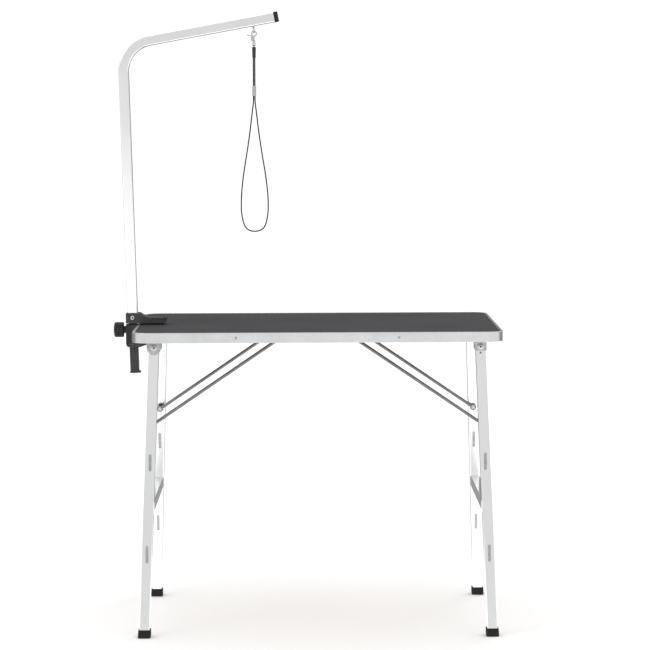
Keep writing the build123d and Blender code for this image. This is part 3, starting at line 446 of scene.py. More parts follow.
FINISHES = (
    Finish("mat_rubber", "rubber_mat", colour=(0.036, 0.036, 0.038),
           second=(0.056, 0.056, 0.059), worn=(0.09, 0.09, 0.09), metallic=NOT_METAL,
           roughness=(0.70, 0.85), pattern=Pattern.PEBBLED, cells=420.0, relief=0.0003,
           patches=7.0, wear=0.1, specular=0.12),
    Finish("raw_plywood", "board", colour=(0.55, 0.40, 0.25), second=(0.42, 0.29, 0.17),
           worn=(0.62, 0.48, 0.32), metallic=NOT_METAL, roughness=(0.60, 0.80),
           pattern=Pattern.GRAINED, cells=120.0, relief=0.0002, patches=12.0),
    Finish("satin_trim", "edge_trim", colour=(0.61, 0.62, 0.63), second=(0.50, 0.51, 0.52),
           worn=(0.84, 0.84, 0.85), metallic=METAL, roughness=(0.26, 0.36),
           pattern=Pattern.BRUSHED, cells=1400.0, relief=0.00002, stretch=ALONG_X,
           patches=10.0, wear=0.5),
    Finish("plated_tube", "steel_tube", colour=(0.95, 0.955, 0.96), second=(0.90, 0.905, 0.91),
           worn=(0.97, 0.97, 0.97), metallic=METAL, roughness=(0.14, 0.22),
           pattern=Pattern.BRUSHED, cells=1200.0, relief=0.000012, stretch=ALONG_Z,
           patches=14.0, wear=0.4),
    Finish("foot_rubber", "black_rubber", colour=(0.008, 0.008, 0.009),
           second=(0.014, 0.014, 0.015), worn=(0.05, 0.05, 0.05), metallic=NOT_METAL,
           roughness=(0.55, 0.70), pattern=Pattern.PEBBLED, cells=900.0, relief=0.0001,
           patches=40.0, wear=0.5, specular=0.2),
    Finish("moulded_black", "black_plastic", colour=(0.010, 0.010, 0.011),
           second=(0.018, 0.018, 0.020), worn=(0.06, 0.06, 0.06), metallic=NOT_METAL,
           roughness=(0.38, 0.52), pattern=Pattern.PEBBLED, cells=1500.0, relief=0.00006,
           patches=60.0, wear=0.5, specular=0.25),
    Finish("black_powder_coat", "black_metal", colour=(0.012, 0.012, 0.013),
           second=(0.022, 0.022, 0.024), worn=(0.12, 0.12, 0.12), metallic=NOT_METAL,
           roughness=(0.40, 0.55), pattern=Pattern.PEBBLED, cells=1300.0, relief=0.0001,
           patches=45.0, wear=0.6, specular=0.3),
    Finish("plated_sheet", "plated_sheet", colour=(0.42, 0.43, 0.44), second=(0.16, 0.165, 0.17),
           worn=(0.75, 0.75, 0.76), metallic=METAL, roughness=(0.22, 0.42),
           pattern=Pattern.BRUSHED, cells=500.0, relief=0.00006, stretch=ALONG_X,
           patches=160.0, wear=0.6),
    # painted shade: the left brackets are the same plated sheet as the right ones, drawn darker
    # to stand in for shade
    Finish("shaded_left_tab", "plated_sheet", colour=(0.22, 0.225, 0.23), second=(0.07, 0.072, 0.075),
           worn=(0.70, 0.70, 0.71), metallic=METAL, roughness=(0.20, 0.40),
           pattern=Pattern.BRUSHED, cells=500.0, relief=0.00008, stretch=ALONG_X,
           patches=190.0, wear=0.9),
    Finish("stay_steel", "stay_rod", colour=(0.20, 0.205, 0.215), second=(0.13, 0.135, 0.14),
           worn=(0.55, 0.55, 0.56), metallic=METAL, roughness=(0.28, 0.42),
           pattern=Pattern.BRUSHED, cells=1100.0, relief=0.00003, stretch=ALONG_STAY,
           patches=30.0, wear=0.3),
    Finish("zinc_plated_steel", "plated_hardware", colour=(0.58, 0.59, 0.60),
           second=(0.40, 0.41, 0.42), worn=(0.80, 0.80, 0.80), metallic=METAL,
           roughness=(0.18, 0.34), pattern=Pattern.PEBBLED, cells=2500.0, relief=0.00002,
           patches=150.0, wear=0.5),
    Finish("turned_brass", "brass", colour=(0.72, 0.50, 0.20), second=(0.60, 0.40, 0.15),
           worn=(0.85, 0.65, 0.32), metallic=METAL, roughness=(0.22, 0.34),
           pattern=Pattern.BRUSHED, cells=3000.0, relief=0.00002, stretch=ALONG_Y,
           patches=90.0),
    Finish("glossy_sleeve", "black_sleeve", colour=(0.008, 0.008, 0.009),
           second=(0.014, 0.014, 0.016), worn=(0.05, 0.05, 0.05), metallic=NOT_METAL,
           roughness=(0.22, 0.32), patches=90.0, wear=0.3, coat=0.2, specular=0.4),
    Finish("braided_cord", "cord", colour=(0.010, 0.010, 0.011), second=(0.020, 0.020, 0.022),
           worn=(0.04, 0.04, 0.04), metallic=NOT_METAL, roughness=(0.72, 0.85),
           pattern=Pattern.BRAIDED, cells=350.0, relief=0.0006, patches=200.0, wear=0.0,
           specular=0.2),
)


class Workshop:
    """Holds the finishes and dresses pieces with them."""

    def __init__(self) -> None:
        """Make every finish."""
        shelf = GroupShelf()
        self.materials = {finish.name: finish.build(shelf) for finish in FINISHES}
        self.usual = {finish.slot: finish.name for finish in reversed(FINISHES)}
        slots = frame["record"]["subparts"]
        self.slot_of = {part["node"]: part["material_slot"] for part in slots}

    def dress_node(self, node: str, finish: str | None = None) -> None:
        """Give a CAD node the finish of its own slot.

        Args:
            node: name of the CAD node.
            finish: name of another finish of that slot, if it isn't the usual one.
        """
        data = bpy.data.objects[node].data
        data.materials.clear()
        data.materials.append(self.materials[finish or self.usual[self.slot_of[node]]])
        LOG.info("dressed %s", node)

    def finish_piece(self, piece: Piece, slot: str, body: str) -> Piece:
        """Dress a new piece and let it ride on its body.

        Args:
            piece: the new piece.
            slot: the record's material slot.
            body: the CAD body that it moves with.

        Returns:
            The piece.
        """
        piece.data.materials.clear()
        piece.data.materials.append(self.materials[self.usual[slot]])
        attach(piece, body)
        LOG.info("made %s on %s", piece.name, body)
        return piece


# --- mesh helpers ---


def piece_from(mesh: Mesh, name: str, smooth_angle: float = 35.0) -> Piece:
    """Turn a bmesh into an object at the origin.

    Args:
        mesh: the mesh, which is freed.
        name: name of the piece.
        smooth_angle: edges flatter than this are shaded smooth, in degrees.

    Returns:
        The object.
    """
    bmesh.ops.remove_doubles(mesh, verts=mesh.verts, dist=MERGE_DISTANCE)
    bmesh.ops.recalc_face_normals(mesh, faces=mesh.faces)
    for edge in mesh.edges:
        edge.smooth = edge.calc_face_angle(pi) < radians(smooth_angle)
    for face in mesh.faces:
        face.smooth = True
    data = bpy.data.meshes.new(name)
    mesh.to_mesh(data)
    mesh.free()
    piece = bpy.data.objects.new(name, data)
    bpy.context.scene.collection.objects.link(piece)
    return piece


def round_edges(mesh: Mesh, edges: Edges, size: float, steps: int = 2) -> None:
    """Round some edges.

    Args:
        mesh: the mesh.
        edges: the edges to round.
        size: radius in metres.
        steps: segments of each rounding.
    """
    bmesh.ops.bevel(mesh, geom=list(edges), offset=size, offset_type="OFFSET", affect="EDGES",
                    segments=steps, profile=0.5, material=-1, clamp_overlap=True)


def edges_at(verts: Verts) -> Edges:
    """Return the edges at some vertices, each once, in the order they are met."""
    return list(dict.fromkeys(edge for vert in verts for edge in vert.link_edges))


def sharp_edges(verts: Verts) -> Edges:
    """Return the edges at some vertices that bend by more than SHARP_ANGLE."""
    edges = edges_at(verts)
    return [edge for edge in edges if edge.calc_face_angle(0.0) > SHARP_ANGLE]


def facing(direction: Vector, place: Vector) -> Matrix:
    """Return the matrix that turns +Z to a direction and moves the origin to a place."""
    turn = Vector((0, 0, 1)).rotation_difference(direction.normalized())
    return Matrix.Translation(place) @ turn.to_matrix().to_4x4()


def add_disc(mesh: Mesh, radii: tuple[float, float], depth: float, place: Matrix,
             sides: int = 32) -> Verts:
    """Add a capped round form between two radii.

    Args:
        mesh: the mesh to add to.
        radii: radius at the low end and at the high end.
        depth: height along its own Z.
        place: matrix of its middle.
        sides: number of sides.

    Returns:
        The new vertices.
    """
    made = bmesh.ops.create_cone(mesh, cap_ends=True, segments=sides, radius1=radii[0],
                                 radius2=radii[1], depth=depth, matrix=place)
    return made["verts"]


def add_block(mesh: Mesh, size: Sequence[float], place: Matrix) -> Verts:
    """Add a block.

    Args:
        mesh: the mesh to add to.
        size: length of its sides along its own axes.
        place: matrix of its middle.

    Returns:
        The new vertices.
    """
    verts = bmesh.ops.create_cube(mesh, size=1.0)["verts"]
    bmesh.ops.transform(mesh, matrix=place @ Matrix.Diagonal((*size, 1.0)), verts=verts)
    return verts


def outer_face(low: Vector, high: Vector) -> tuple[Vector, Vector]:
    """Find the face of a box that looks away from the table's middle line, along Y.

    Args:
        low: lowest corner of the box.
        high: highest corner of the box.

    Returns:
        The middle of that face, and the direction that it looks in.
    """
    outward = -1.0 if low.y + high.y < 0 else 1.0
    face = low.y if outward < 0 else high.y
    middle = Vector(((low.x + high.x) / 2, face, (low.z + high.z) / 2))
    return middle, Vector((0, outward, 0))


def solid_boxes(node: str) -> list[tuple[Vector, Vector]]:
    """Find the box of each separate solid in a CAD node.

    Args:
        node: name of the CAD node.

    Returns:
        Lowest and highest corners, sorted by X and then Y.
    """
    mesh = bmesh.new()
    mesh.from_mesh(bpy.data.objects[node].data)
    bmesh.ops.remove_doubles(mesh, verts=mesh.verts, dist=MERGE_DISTANCE)
    left = set(mesh.verts)
    boxes = []
    while left:
        reached = {left.pop()}
        front = list(reached)
        while front:
            vertex = front.pop()
            near = [edge.other_vert(vertex) for edge in vertex.link_edges]
            fresh = [other for other in near if other not in reached]
            reached.update(fresh)
            front.extend(fresh)
        left -= reached
        points = [vertex.co for vertex in reached]
        low = Vector([min(point[axis] for point in points) for axis in range(3)])
        high = Vector([max(point[axis] for point in points) for axis in range(3)])
        boxes.append((low, high))
    mesh.free()
    return sorted(boxes, key=lambda pair: (round(pair[0].x, 3), round(pair[0].y, 3)))


def joint_place(joint: str) -> Vector:
    """Return the point that a hinge turns about, from the record.

    Args:
        joint: name of the hinge.

    Returns:
        Its place at rest.
    """
    joints = frame["record"]["behaviour"]["joints"]
    return Vector(next(entry["pos_m"] for entry in joints if entry["name"] == joint))


def painted_socket_shade(node: str, radius: float, depth: float, name: str, sides: int = 6) -> Piece:
    """Make a black disc on the outer end of each bolt or rivet of a node, as painted shade for
    its recess.

    Args:
        node: name of the CAD node that holds the bolts.
        radius: radius of the dark disc.
        depth: thickness of the dark disc.
        name: name of the piece.
        sides: 6 for a hexagonal socket, more for a round one.

    Returns:
        One piece with every dark disc.
    """
    mesh = bmesh.new()
    for low, high in solid_boxes(node):
        middle, outward = outer_face(low, high)
        # painted shade: a flat black disc stands in for the shade inside the recess
        add_disc(mesh, (radius, radius), depth, facing(outward, middle), sides)
    return piece_from(mesh, name)


# --- sub-assemblies ---


@dataclass
class TableTop:
    """The board with its mat, trim and fixings."""

    cross_shade_length: float = 0.0042
    cross_shade_width: float = 0.0009
    cross_shade_thickness: float = 0.0003
    cross_shade_turns: tuple[float, ...] = (20.0, 110.0)
    nodes: tuple[str, ...] = ("table_board", "rubber_mat", "edge_trim", "trim_screws")

    def build(self, workshop: Workshop) -> None:
        """Dress the top and add black crosses on its screw heads, as painted shade for their
        recesses.
        """
        for node in self.nodes:
            workshop.dress_node(node)
        workshop.finish_piece(self.painted_cross_shade(), "black_metal", "table")

    def painted_cross_shade(self) -> Piece:
        """Make black crosses on the heads of the trim screws, as painted shade for their crossed
        recesses.

        Returns:
            One piece with every black cross.
        """
        mesh = bmesh.new()
        size = (self.cross_shade_length, self.cross_shade_thickness, self.cross_shade_width)
        for low, high in solid_boxes("trim_screws"):
            middle, _ = outer_face(low, high)
            for turn in self.cross_shade_turns:
                place = Matrix.Translation(middle) @ Matrix.Rotation(radians(turn), 4, "Y")
                # painted shade: each black bar stands in for the shade in one arm of a cross
                # recess
                add_block(mesh, size, place)
        return piece_from(mesh, "trim_screw_cross_shade")


@dataclass
class HingeSet:
    """The brackets under one end of the table, with their bolts and screws."""

    hand: Hand
    rib_count: int = 14
    rib_length: float = 0.0065
    rib_width: float = 0.0013
    rib_height: float = 0.0009
    rib_circle: float = 0.0125
    washer_radius: float = 0.0088
    washer_thickness: float = 0.0010
    washer_sides: int = 40

    def build(self, workshop: Workshop) -> None:
        """Dress the brackets, the left ones in a darker copy of their plated sheet as painted
        shade, and add washers, and the ribs of the left tabs.
        """
        brackets = f"{self.hand.value}_hinge_brackets"
        left = self.hand is Hand.LEFT
        # painted shade: the left brackets get the darker copy of the plated sheet
        workshop.dress_node(brackets, "shaded_left_tab" if left else None)
        workshop.dress_node(f"{self.hand.value}_stay_catches")
        workshop.finish_piece(self.washers(brackets), "plated_hardware", "table")
        if left:
            workshop.finish_piece(self.ribs(brackets), "plated_sheet", "table")

    def outer_faces(self, brackets: str) -> list[Vector]:
        """Find the pivot's place on each bracket's outer face.

        Args:
            brackets: name of the CAD node.

        Returns:
            One point for the front bracket and one for the rear.
        """
        pivot = joint_place(f"{self.hand.value}_leg_fold")
        points = []
        for low, high in solid_boxes(brackets):
            middle, _ = outer_face(low, high)
            points.append(Vector((pivot.x, middle.y, pivot.z)))
        return points

    def washers(self, brackets: str) -> Piece:
        """Make a thin washer round each pivot bolt's head."""
        mesh = bmesh.new()
        for point in self.outer_faces(brackets):
            outward = Vector((0, 1 if point.y > 0 else -1, 0))
            middle = point + outward * self.washer_thickness / 2
            verts = add_disc(mesh, (self.washer_radius, self.washer_radius),
                             self.washer_thickness, facing(outward, middle), self.washer_sides)
            round_edges(mesh, sharp_edges(verts), self.washer_thickness * ROUNDED_SHARE)
        return piece_from(mesh, f"{self.hand.value}_hinge_washers")

    def ribs(self, brackets: str) -> Piece:
        """Make the ring of short pressed ribs round each left pivot."""
        mesh = bmesh.new()
        size = (self.rib_length, self.rib_height, self.rib_width)
        shift = Matrix.Translation((self.rib_circle, 0, 0))
        for point in self.outer_faces(brackets):
            for index in range(self.rib_count):
                turn = Matrix.Rotation(2 * pi * index / self.rib_count, 4, "Y")
                add_block(mesh, size, Matrix.Translation(point) @ turn @ shift)
        round_edges(mesh, mesh.edges, self.rib_height * ROUNDED_SHARE, 1)
        return piece_from(mesh, "left_hinge_ribs")


@dataclass
class LegFrame:
    """One pair of legs with its crossbar, feet and stays."""

    hand: Hand
    bead_radius: float = 0.0019
    beads_per_side: int = 9
    bar_sides: int = 4
    bead_smooth_angle: float = 60.0
    band_height: float = 0.0022
    band_proud: float = 0.0006
    band_levels: tuple[float, ...] = (0.25, 0.5)
    band_corner: float = 0.0045
    band_corner_steps: int = 4
    band_smooth_angle: float = 50.0
    slot_from_crossbar: float = 0.113
    liner_height: float = 0.050
    liner_thickness: float = 0.0012
    liner_inset: float = 0.0030
    liner_share: float = 0.62
    dimple_shade_radius: float = 0.0020
    dimple_shade_thickness: float = 0.0004
    dimple_shade_sides: int = 20
    parts: tuple[str, ...] = (
        "front_leg", "rear_leg", "crossbar", "foot_caps", "leg_top_plugs", "plug_rivets",
        "stay_pivot_bolts", "stay_spacers", "stay_rivet_nuts", "front_stay", "rear_stay",
    )

    def build(self, workshop: Workshop) -> None:
        """Dress the frame's nodes and add its welds, foot bands, slot liners, and black discs on
        the rivets as painted shade for their dimples.
        """
        for part in self.parts:
            workshop.dress_node(f"{self.hand.value}_{part}")
        body = f"{self.hand.value}_leg_frame"
        workshop.finish_piece(self.weld_beads(), "steel_tube", body)
        workshop.finish_piece(self.foot_bands(), "black_rubber", body)
        workshop.finish_piece(self.slot_liners(), "plated_sheet", body)
        rivets = f"{self.hand.value}_plug_rivets"
        # painted shade: black discs on the rivet ends stand in for the shade in their dimples
        marks = painted_socket_shade(rivets, self.dimple_shade_radius, self.dimple_shade_thickness,
                             f"{rivets}_dimple_shade", self.dimple_shade_sides)
        workshop.finish_piece(marks, "black_metal", body)

    def leg_slope(self, row: Row) -> Vector:
        """Return how far a leg leans for each metre upwards, with Z as 1."""
        low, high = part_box(f"{self.hand.value}_{row.value}_leg")
        bar_low, bar_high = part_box(f"{self.hand.value}_crossbar")
        outward = -1 if self.hand is Hand.LEFT else 1
        back = -1 if row is Row.FRONT else 1
        size = bar_high.x - bar_low.x
        rise = high.z - low.z
        along_x = -outward * (high.x - low.x - size) / rise
        along_y = -back * (high.y - low.y - size) / rise
        return Vector((along_x, along_y, 1.0))

    def weld_beads(self) -> Piece:
        """Make the scalloped weld where the crossbar meets each leg."""
        mesh = bmesh.new()
        low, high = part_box(f"{self.hand.value}_crossbar")
        half = (high.x - low.x) / 2
        centre = (low + high) / 2
        for row in Row:
            slope = self.leg_slope(row)
            back = -1 if row is Row.FRONT else 1
            reach = (high.y - centre.y) - abs(slope.y) * half
            for side in range(self.bar_sides):
                for step in range(self.beads_per_side):
                    offset = (2 * step / self.beads_per_side - 1) * half
                    turn = Matrix.Rotation(side * pi / 2, 3, "Y")
                    corner = turn @ Vector((offset, 0, half))
                    level = corner.z * slope.y
                    place = centre + Vector((corner.x, back * reach + level, corner.z))
                    bmesh.ops.create_icosphere(mesh, subdivisions=2, radius=self.bead_radius,
                                               matrix=Matrix.Translation(place))
        return piece_from(mesh, f"{self.hand.value}_weld_beads", self.bead_smooth_angle)

    def slot_liners(self) -> Piece:
        """Make the thin strips that close the slots from inside the tubes."""
        mesh = bmesh.new()
        low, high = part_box(f"{self.hand.value}_crossbar")
        tube = high.x - low.x
        middle = (low + high) / 2
        size = (tube * self.liner_share, self.liner_thickness, self.liner_height)
        for row in Row:
            slope = self.leg_slope(row)
            lean = Matrix.Shear("XY", 4, (slope.x, slope.y))
            leg_low, leg_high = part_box(f"{self.hand.value}_{row.value}_leg")
            foot_y = leg_low.y + tube / 2 if row is Row.FRONT else leg_high.y - tube / 2
            for end in (-1, 1):
                height = middle.z + end * self.slot_from_crossbar
                centre = Vector((middle.x + slope.x * (height - middle.z),
                                 foot_y + slope.y * (height - leg_low.z), height))
                for face in (-1, 1):
                    place = centre + Vector((0, face * (tube / 2 - self.liner_inset), 0))
                    add_block(mesh, size, Matrix.Translation(place) @ lean)
        round_edges(mesh, mesh.edges, self.liner_thickness * ROUNDED_SHARE, 1)
        return piece_from(mesh, f"{self.hand.value}_slot_liners")

    def foot_bands(self) -> Piece:
        """Make the raised bands round each rubber cap."""
        mesh = bmesh.new()
        for low, high in solid_boxes(f"{self.hand.value}_foot_caps"):
            slope = self.leg_slope(Row.FRONT if low.y + high.y < 0 else Row.REAR)
            width = (high.x - low.x) - abs(slope.x) * (high.z - low.z)
            foot = Vector((low.x if slope.x > 0 else high.x,
                           low.y if slope.y > 0 else high.y, low.z))
            inward = Vector((1 if slope.x > 0 else -1, 1 if slope.y > 0 else -1, 0))
            base = foot + inward * width / 2
            wide = width + 2 * self.band_proud
            for level in self.band_levels:
                place = base + slope * (high.z - low.z) * level
                block = add_block(mesh, (wide, wide, self.band_height), Matrix.Translation(place))
                upright = [edge for edge in edges_at(block)
                           if abs(edge.verts[0].co.z - edge.verts[1].co.z) > self.band_height / 2]
                round_edges(mesh, upright, self.band_corner, self.band_corner_steps)
        return piece_from(mesh, f"{self.hand.value}_foot_bands", self.band_smooth_angle)


@dataclass
class ClampAndArm:
    """The clamp on the edge of the top, its knob, and the arm."""

    cap_radius: float = 0.0105
    cap_height: float = 0.0012
    cap_taper: float = 0.9
    cap_rim: float = 0.25
    cap_dish: float = 0.5
    cap_sides: int = 48
    shade_disc_radius: float = 0.0026
    shade_disc_thickness: float = 0.0004
    nodes: tuple[str, ...] = (
        "upper_jaw", "upper_jaw_pad", "clamp_stem", "stem_end_stop", "stem_stop_screw",
        "jaw_cross_bolt", "jaw_cross_nut", "arm_tube", "arm_end_cap", "eye_bolt",
        "eye_bolt_rivet_nut", "lower_jaw", "lower_jaw_pad", "knob_insert", "pressure_pad",
        "knob_grip", "knob_stud",
    )

    def build(self, workshop: Workshop) -> None:
        """Dress the clamp and arm, and add the knob's cap and a black hexagon on the bolt's head
        as painted shade for its socket.
        """
        for node in self.nodes:
            workshop.dress_node(node)
        workshop.finish_piece(self.knob_cap(), "black_plastic", "clamp_knob")
        workshop.finish_piece(self.bolt_head_shade(), "black_metal", "arm_clamp")

    def knob_cap(self) -> Piece:
        """Make the round cap pressed into the knob's outer face."""
        mesh = bmesh.new()
        low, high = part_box("knob_grip")
        middle = Vector((low.x - self.cap_height / 2, (low.y + high.y) / 2,
                         joint_place("knob_turn").z))
        verts = add_disc(mesh, (self.cap_radius, self.cap_radius * self.cap_taper),
                         self.cap_height, facing(Vector((-1, 0, 0)), middle), self.cap_sides)
        ends = {face for vert in verts for face in vert.link_faces if len(face.verts) > 4}
        outer = min(ends, key=lambda face: face.calc_center_median().x)
        bmesh.ops.inset_region(mesh, faces=[outer], thickness=self.cap_radius * self.cap_rim)
        bmesh.ops.translate(mesh, vec=(self.cap_height * self.cap_dish, 0, 0), verts=outer.verts)
        return piece_from(mesh, "knob_cap")

    def bolt_head_shade(self) -> Piece:
        """Make a black hexagon on the cross bolt's head, as painted shade for its socket."""
        mesh = bmesh.new()
        low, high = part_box("jaw_cross_bolt")
        middle = Vector(((low.x + high.x) / 2, low.y, (low.z + high.z) / 2))
        # painted shade: the black hexagon stands in for the shade inside the socket
        add_disc(mesh, (self.shade_disc_radius, self.shade_disc_radius), self.shade_disc_thickness,
                 facing(Vector((0, -1, 0)), middle), 6)
        return piece_from(mesh, "cross_bolt_shade_disc")


@dataclass
class HangingNoose:
    """The snap hook, swivel, ferrule, cord and slide."""

    cord_diameter: float = 0.0032
    strand_offset: float = 0.00175
    cord_inside: float = 0.018
    straight_foot: float = 0.015
    straight_point: float = 0.013
    cord_length: float = 0.957
    band_width: float = 0.0016
    band_rounding: float = 0.00056
    band_sides: int = 40
    crimp_bands: tuple[tuple[float, float], ...] = ((0.12, 0.0048), (0.62, 0.0052))
    rib_width: float = 0.0010
    rib_height: float = 0.0006
    rib_rounding: float = 0.0002
    rib_share: float = 0.45
    rib_count: int = 6
    right_strand: tuple[tuple[float, float], ...] = (
        (0.0056, 0.043), (0.0112, 0.094), (0.0195, 0.150), (0.029, 0.207),
        (0.0345, 0.262), (0.0335, 0.305), (0.022, 0.343),
    )
    left_strand: tuple[tuple[float, float], ...] = (
        (-0.006, 0.045), (-0.012, 0.097), (-0.021, 0.154), (-0.0305, 0.211),
        (-0.035, 0.265), (-0.034, 0.307), (-0.021, 0.344),
    )
    nodes: tuple[str, ...] = (
        "snap_hook_body", "snap_hook_spring", "snap_hook_bolt", "swivel_eye", "noose_ferrule",
        "slide_lock",
    )

    def build(self, workshop: Workshop) -> None:
        """Dress the fittings, lay the cord and add the crimps and the slide's ribs."""
        for node in self.nodes:
            workshop.dress_node(node)
        crimps = workshop.finish_piece(self.crimps(), "black_sleeve", "noose")
        ribs = workshop.finish_piece(self.slide_ribs(), "plated_hardware", "slide_lock")
        cord = workshop.finish_piece(self.cord(), "cord", "noose")
        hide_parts("noose_cord")

    def route(self) -> list[Vector]:
        """Return the corners of the cord's route from end to end."""
        hang = joint_place("noose_swivel")
        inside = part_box("noose_ferrule")[0].z + self.cord_inside
        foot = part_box("slide_lock")[0].z
        strands = []
        for side, strand in ((-1, self.left_strand), (1, self.right_strand)):
            across = side * self.strand_offset
            heights = [inside, foot + self.straight_point, foot - self.straight_foot]
            straight = [Vector((hang.x + across, hang.y, height)) for height in heights]
            curved = [Vector((hang.x + x, hang.y, foot - drop)) for x, drop in strand]
            strands.append(straight + curved)
        return strands[0] + strands[1][::-1]

    def cord(self) -> Piece:
        """Make the cord as one smooth open line."""
        curve = bpy.data.curves.new("noose_cord_line", "CURVE")
        curve.dimensions = "3D"
        curve.bevel_depth = self.cord_diameter / 2
        curve.bevel_resolution = 6
        curve.resolution_u = 10
        curve.use_fill_caps = True
        spline = curve.splines.new("NURBS")
        points = self.route()
        spline.points.add(len(points) - 1)
        for made, point in zip(spline.points, points):
            made.co = (*point, 1.0)
        spline.order_u = 3
        spline.use_endpoint_u = True
        piece = bpy.data.objects.new("braided_noose_cord", curve)
        bpy.context.scene.collection.objects.link(piece)
        return piece

    def crimps(self) -> Piece:
        """Make the two crimped bands round the ferrule."""
        mesh = bmesh.new()
        low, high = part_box("noose_ferrule")
        middle = joint_place("noose_swivel")
        for level, radius in self.crimp_bands:
            place = Vector((middle.x, middle.y, low.z + (high.z - low.z) * level))
            verts = add_disc(mesh, (radius, radius), self.band_width,
                             Matrix.Translation(place), self.band_sides)
            round_edges(mesh, sharp_edges(verts), self.band_rounding)
        return piece_from(mesh, "ferrule_crimps")

    def slide_ribs(self) -> Piece:
        """Make the finger ribs on the two broad faces of the slide."""
        mesh = bmesh.new()
        low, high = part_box("slide_lock")
        centre = (low + high) / 2
        size = ((high.x - low.x) * self.rib_share, self.rib_height, self.rib_width)
        for index in range(self.rib_count):
            height = low.z + (high.z - low.z) * (index + 1.5) / (self.rib_count + 2)
            for face in (low.y, high.y):
                add_block(mesh, size, Matrix.Translation((centre.x, face, height)))
        round_edges(mesh, mesh.edges, self.rib_rounding, 1)
        return piece_from(mesh, "slide_ribs")


@dataclass
class Fixings:
    """The bolts and screws under the top, at both ends of the table."""

    shade_disc_radius: float = 0.0026
    shade_disc_thickness: float = 0.0004
    nodes: tuple[str, ...] = (
        "hinge_bracket_screws", "hinge_pivot_bolts", "hinge_pivot_nuts", "catch_screws",
    )

    def build(self, workshop: Workshop) -> None:
        """Dress the fixings and add black discs on the pivot bolts' heads, as painted shade for
        their sockets.
        """
        for node in self.nodes:
            workshop.dress_node(node)
        # painted shade: a black hexagon on each pivot bolt's head stands in for the shade in its
        # socket
        bolt_shade_discs = painted_socket_shade("hinge_pivot_bolts", self.shade_disc_radius, self.shade_disc_thickness,
                               "pivot_bolt_socket_shade")
        workshop.finish_piece(bolt_shade_discs, "black_metal", "table")


# --- the room ---


@dataclass(frozen=True)
class Lamp:
    """One soft square light.

    Attributes:
        name: name of the light.
        place: where it hangs.
        size: side of its square in metres.
        power: power in watts.
    """

    name: str
    place: Place
    size: float
    power: float


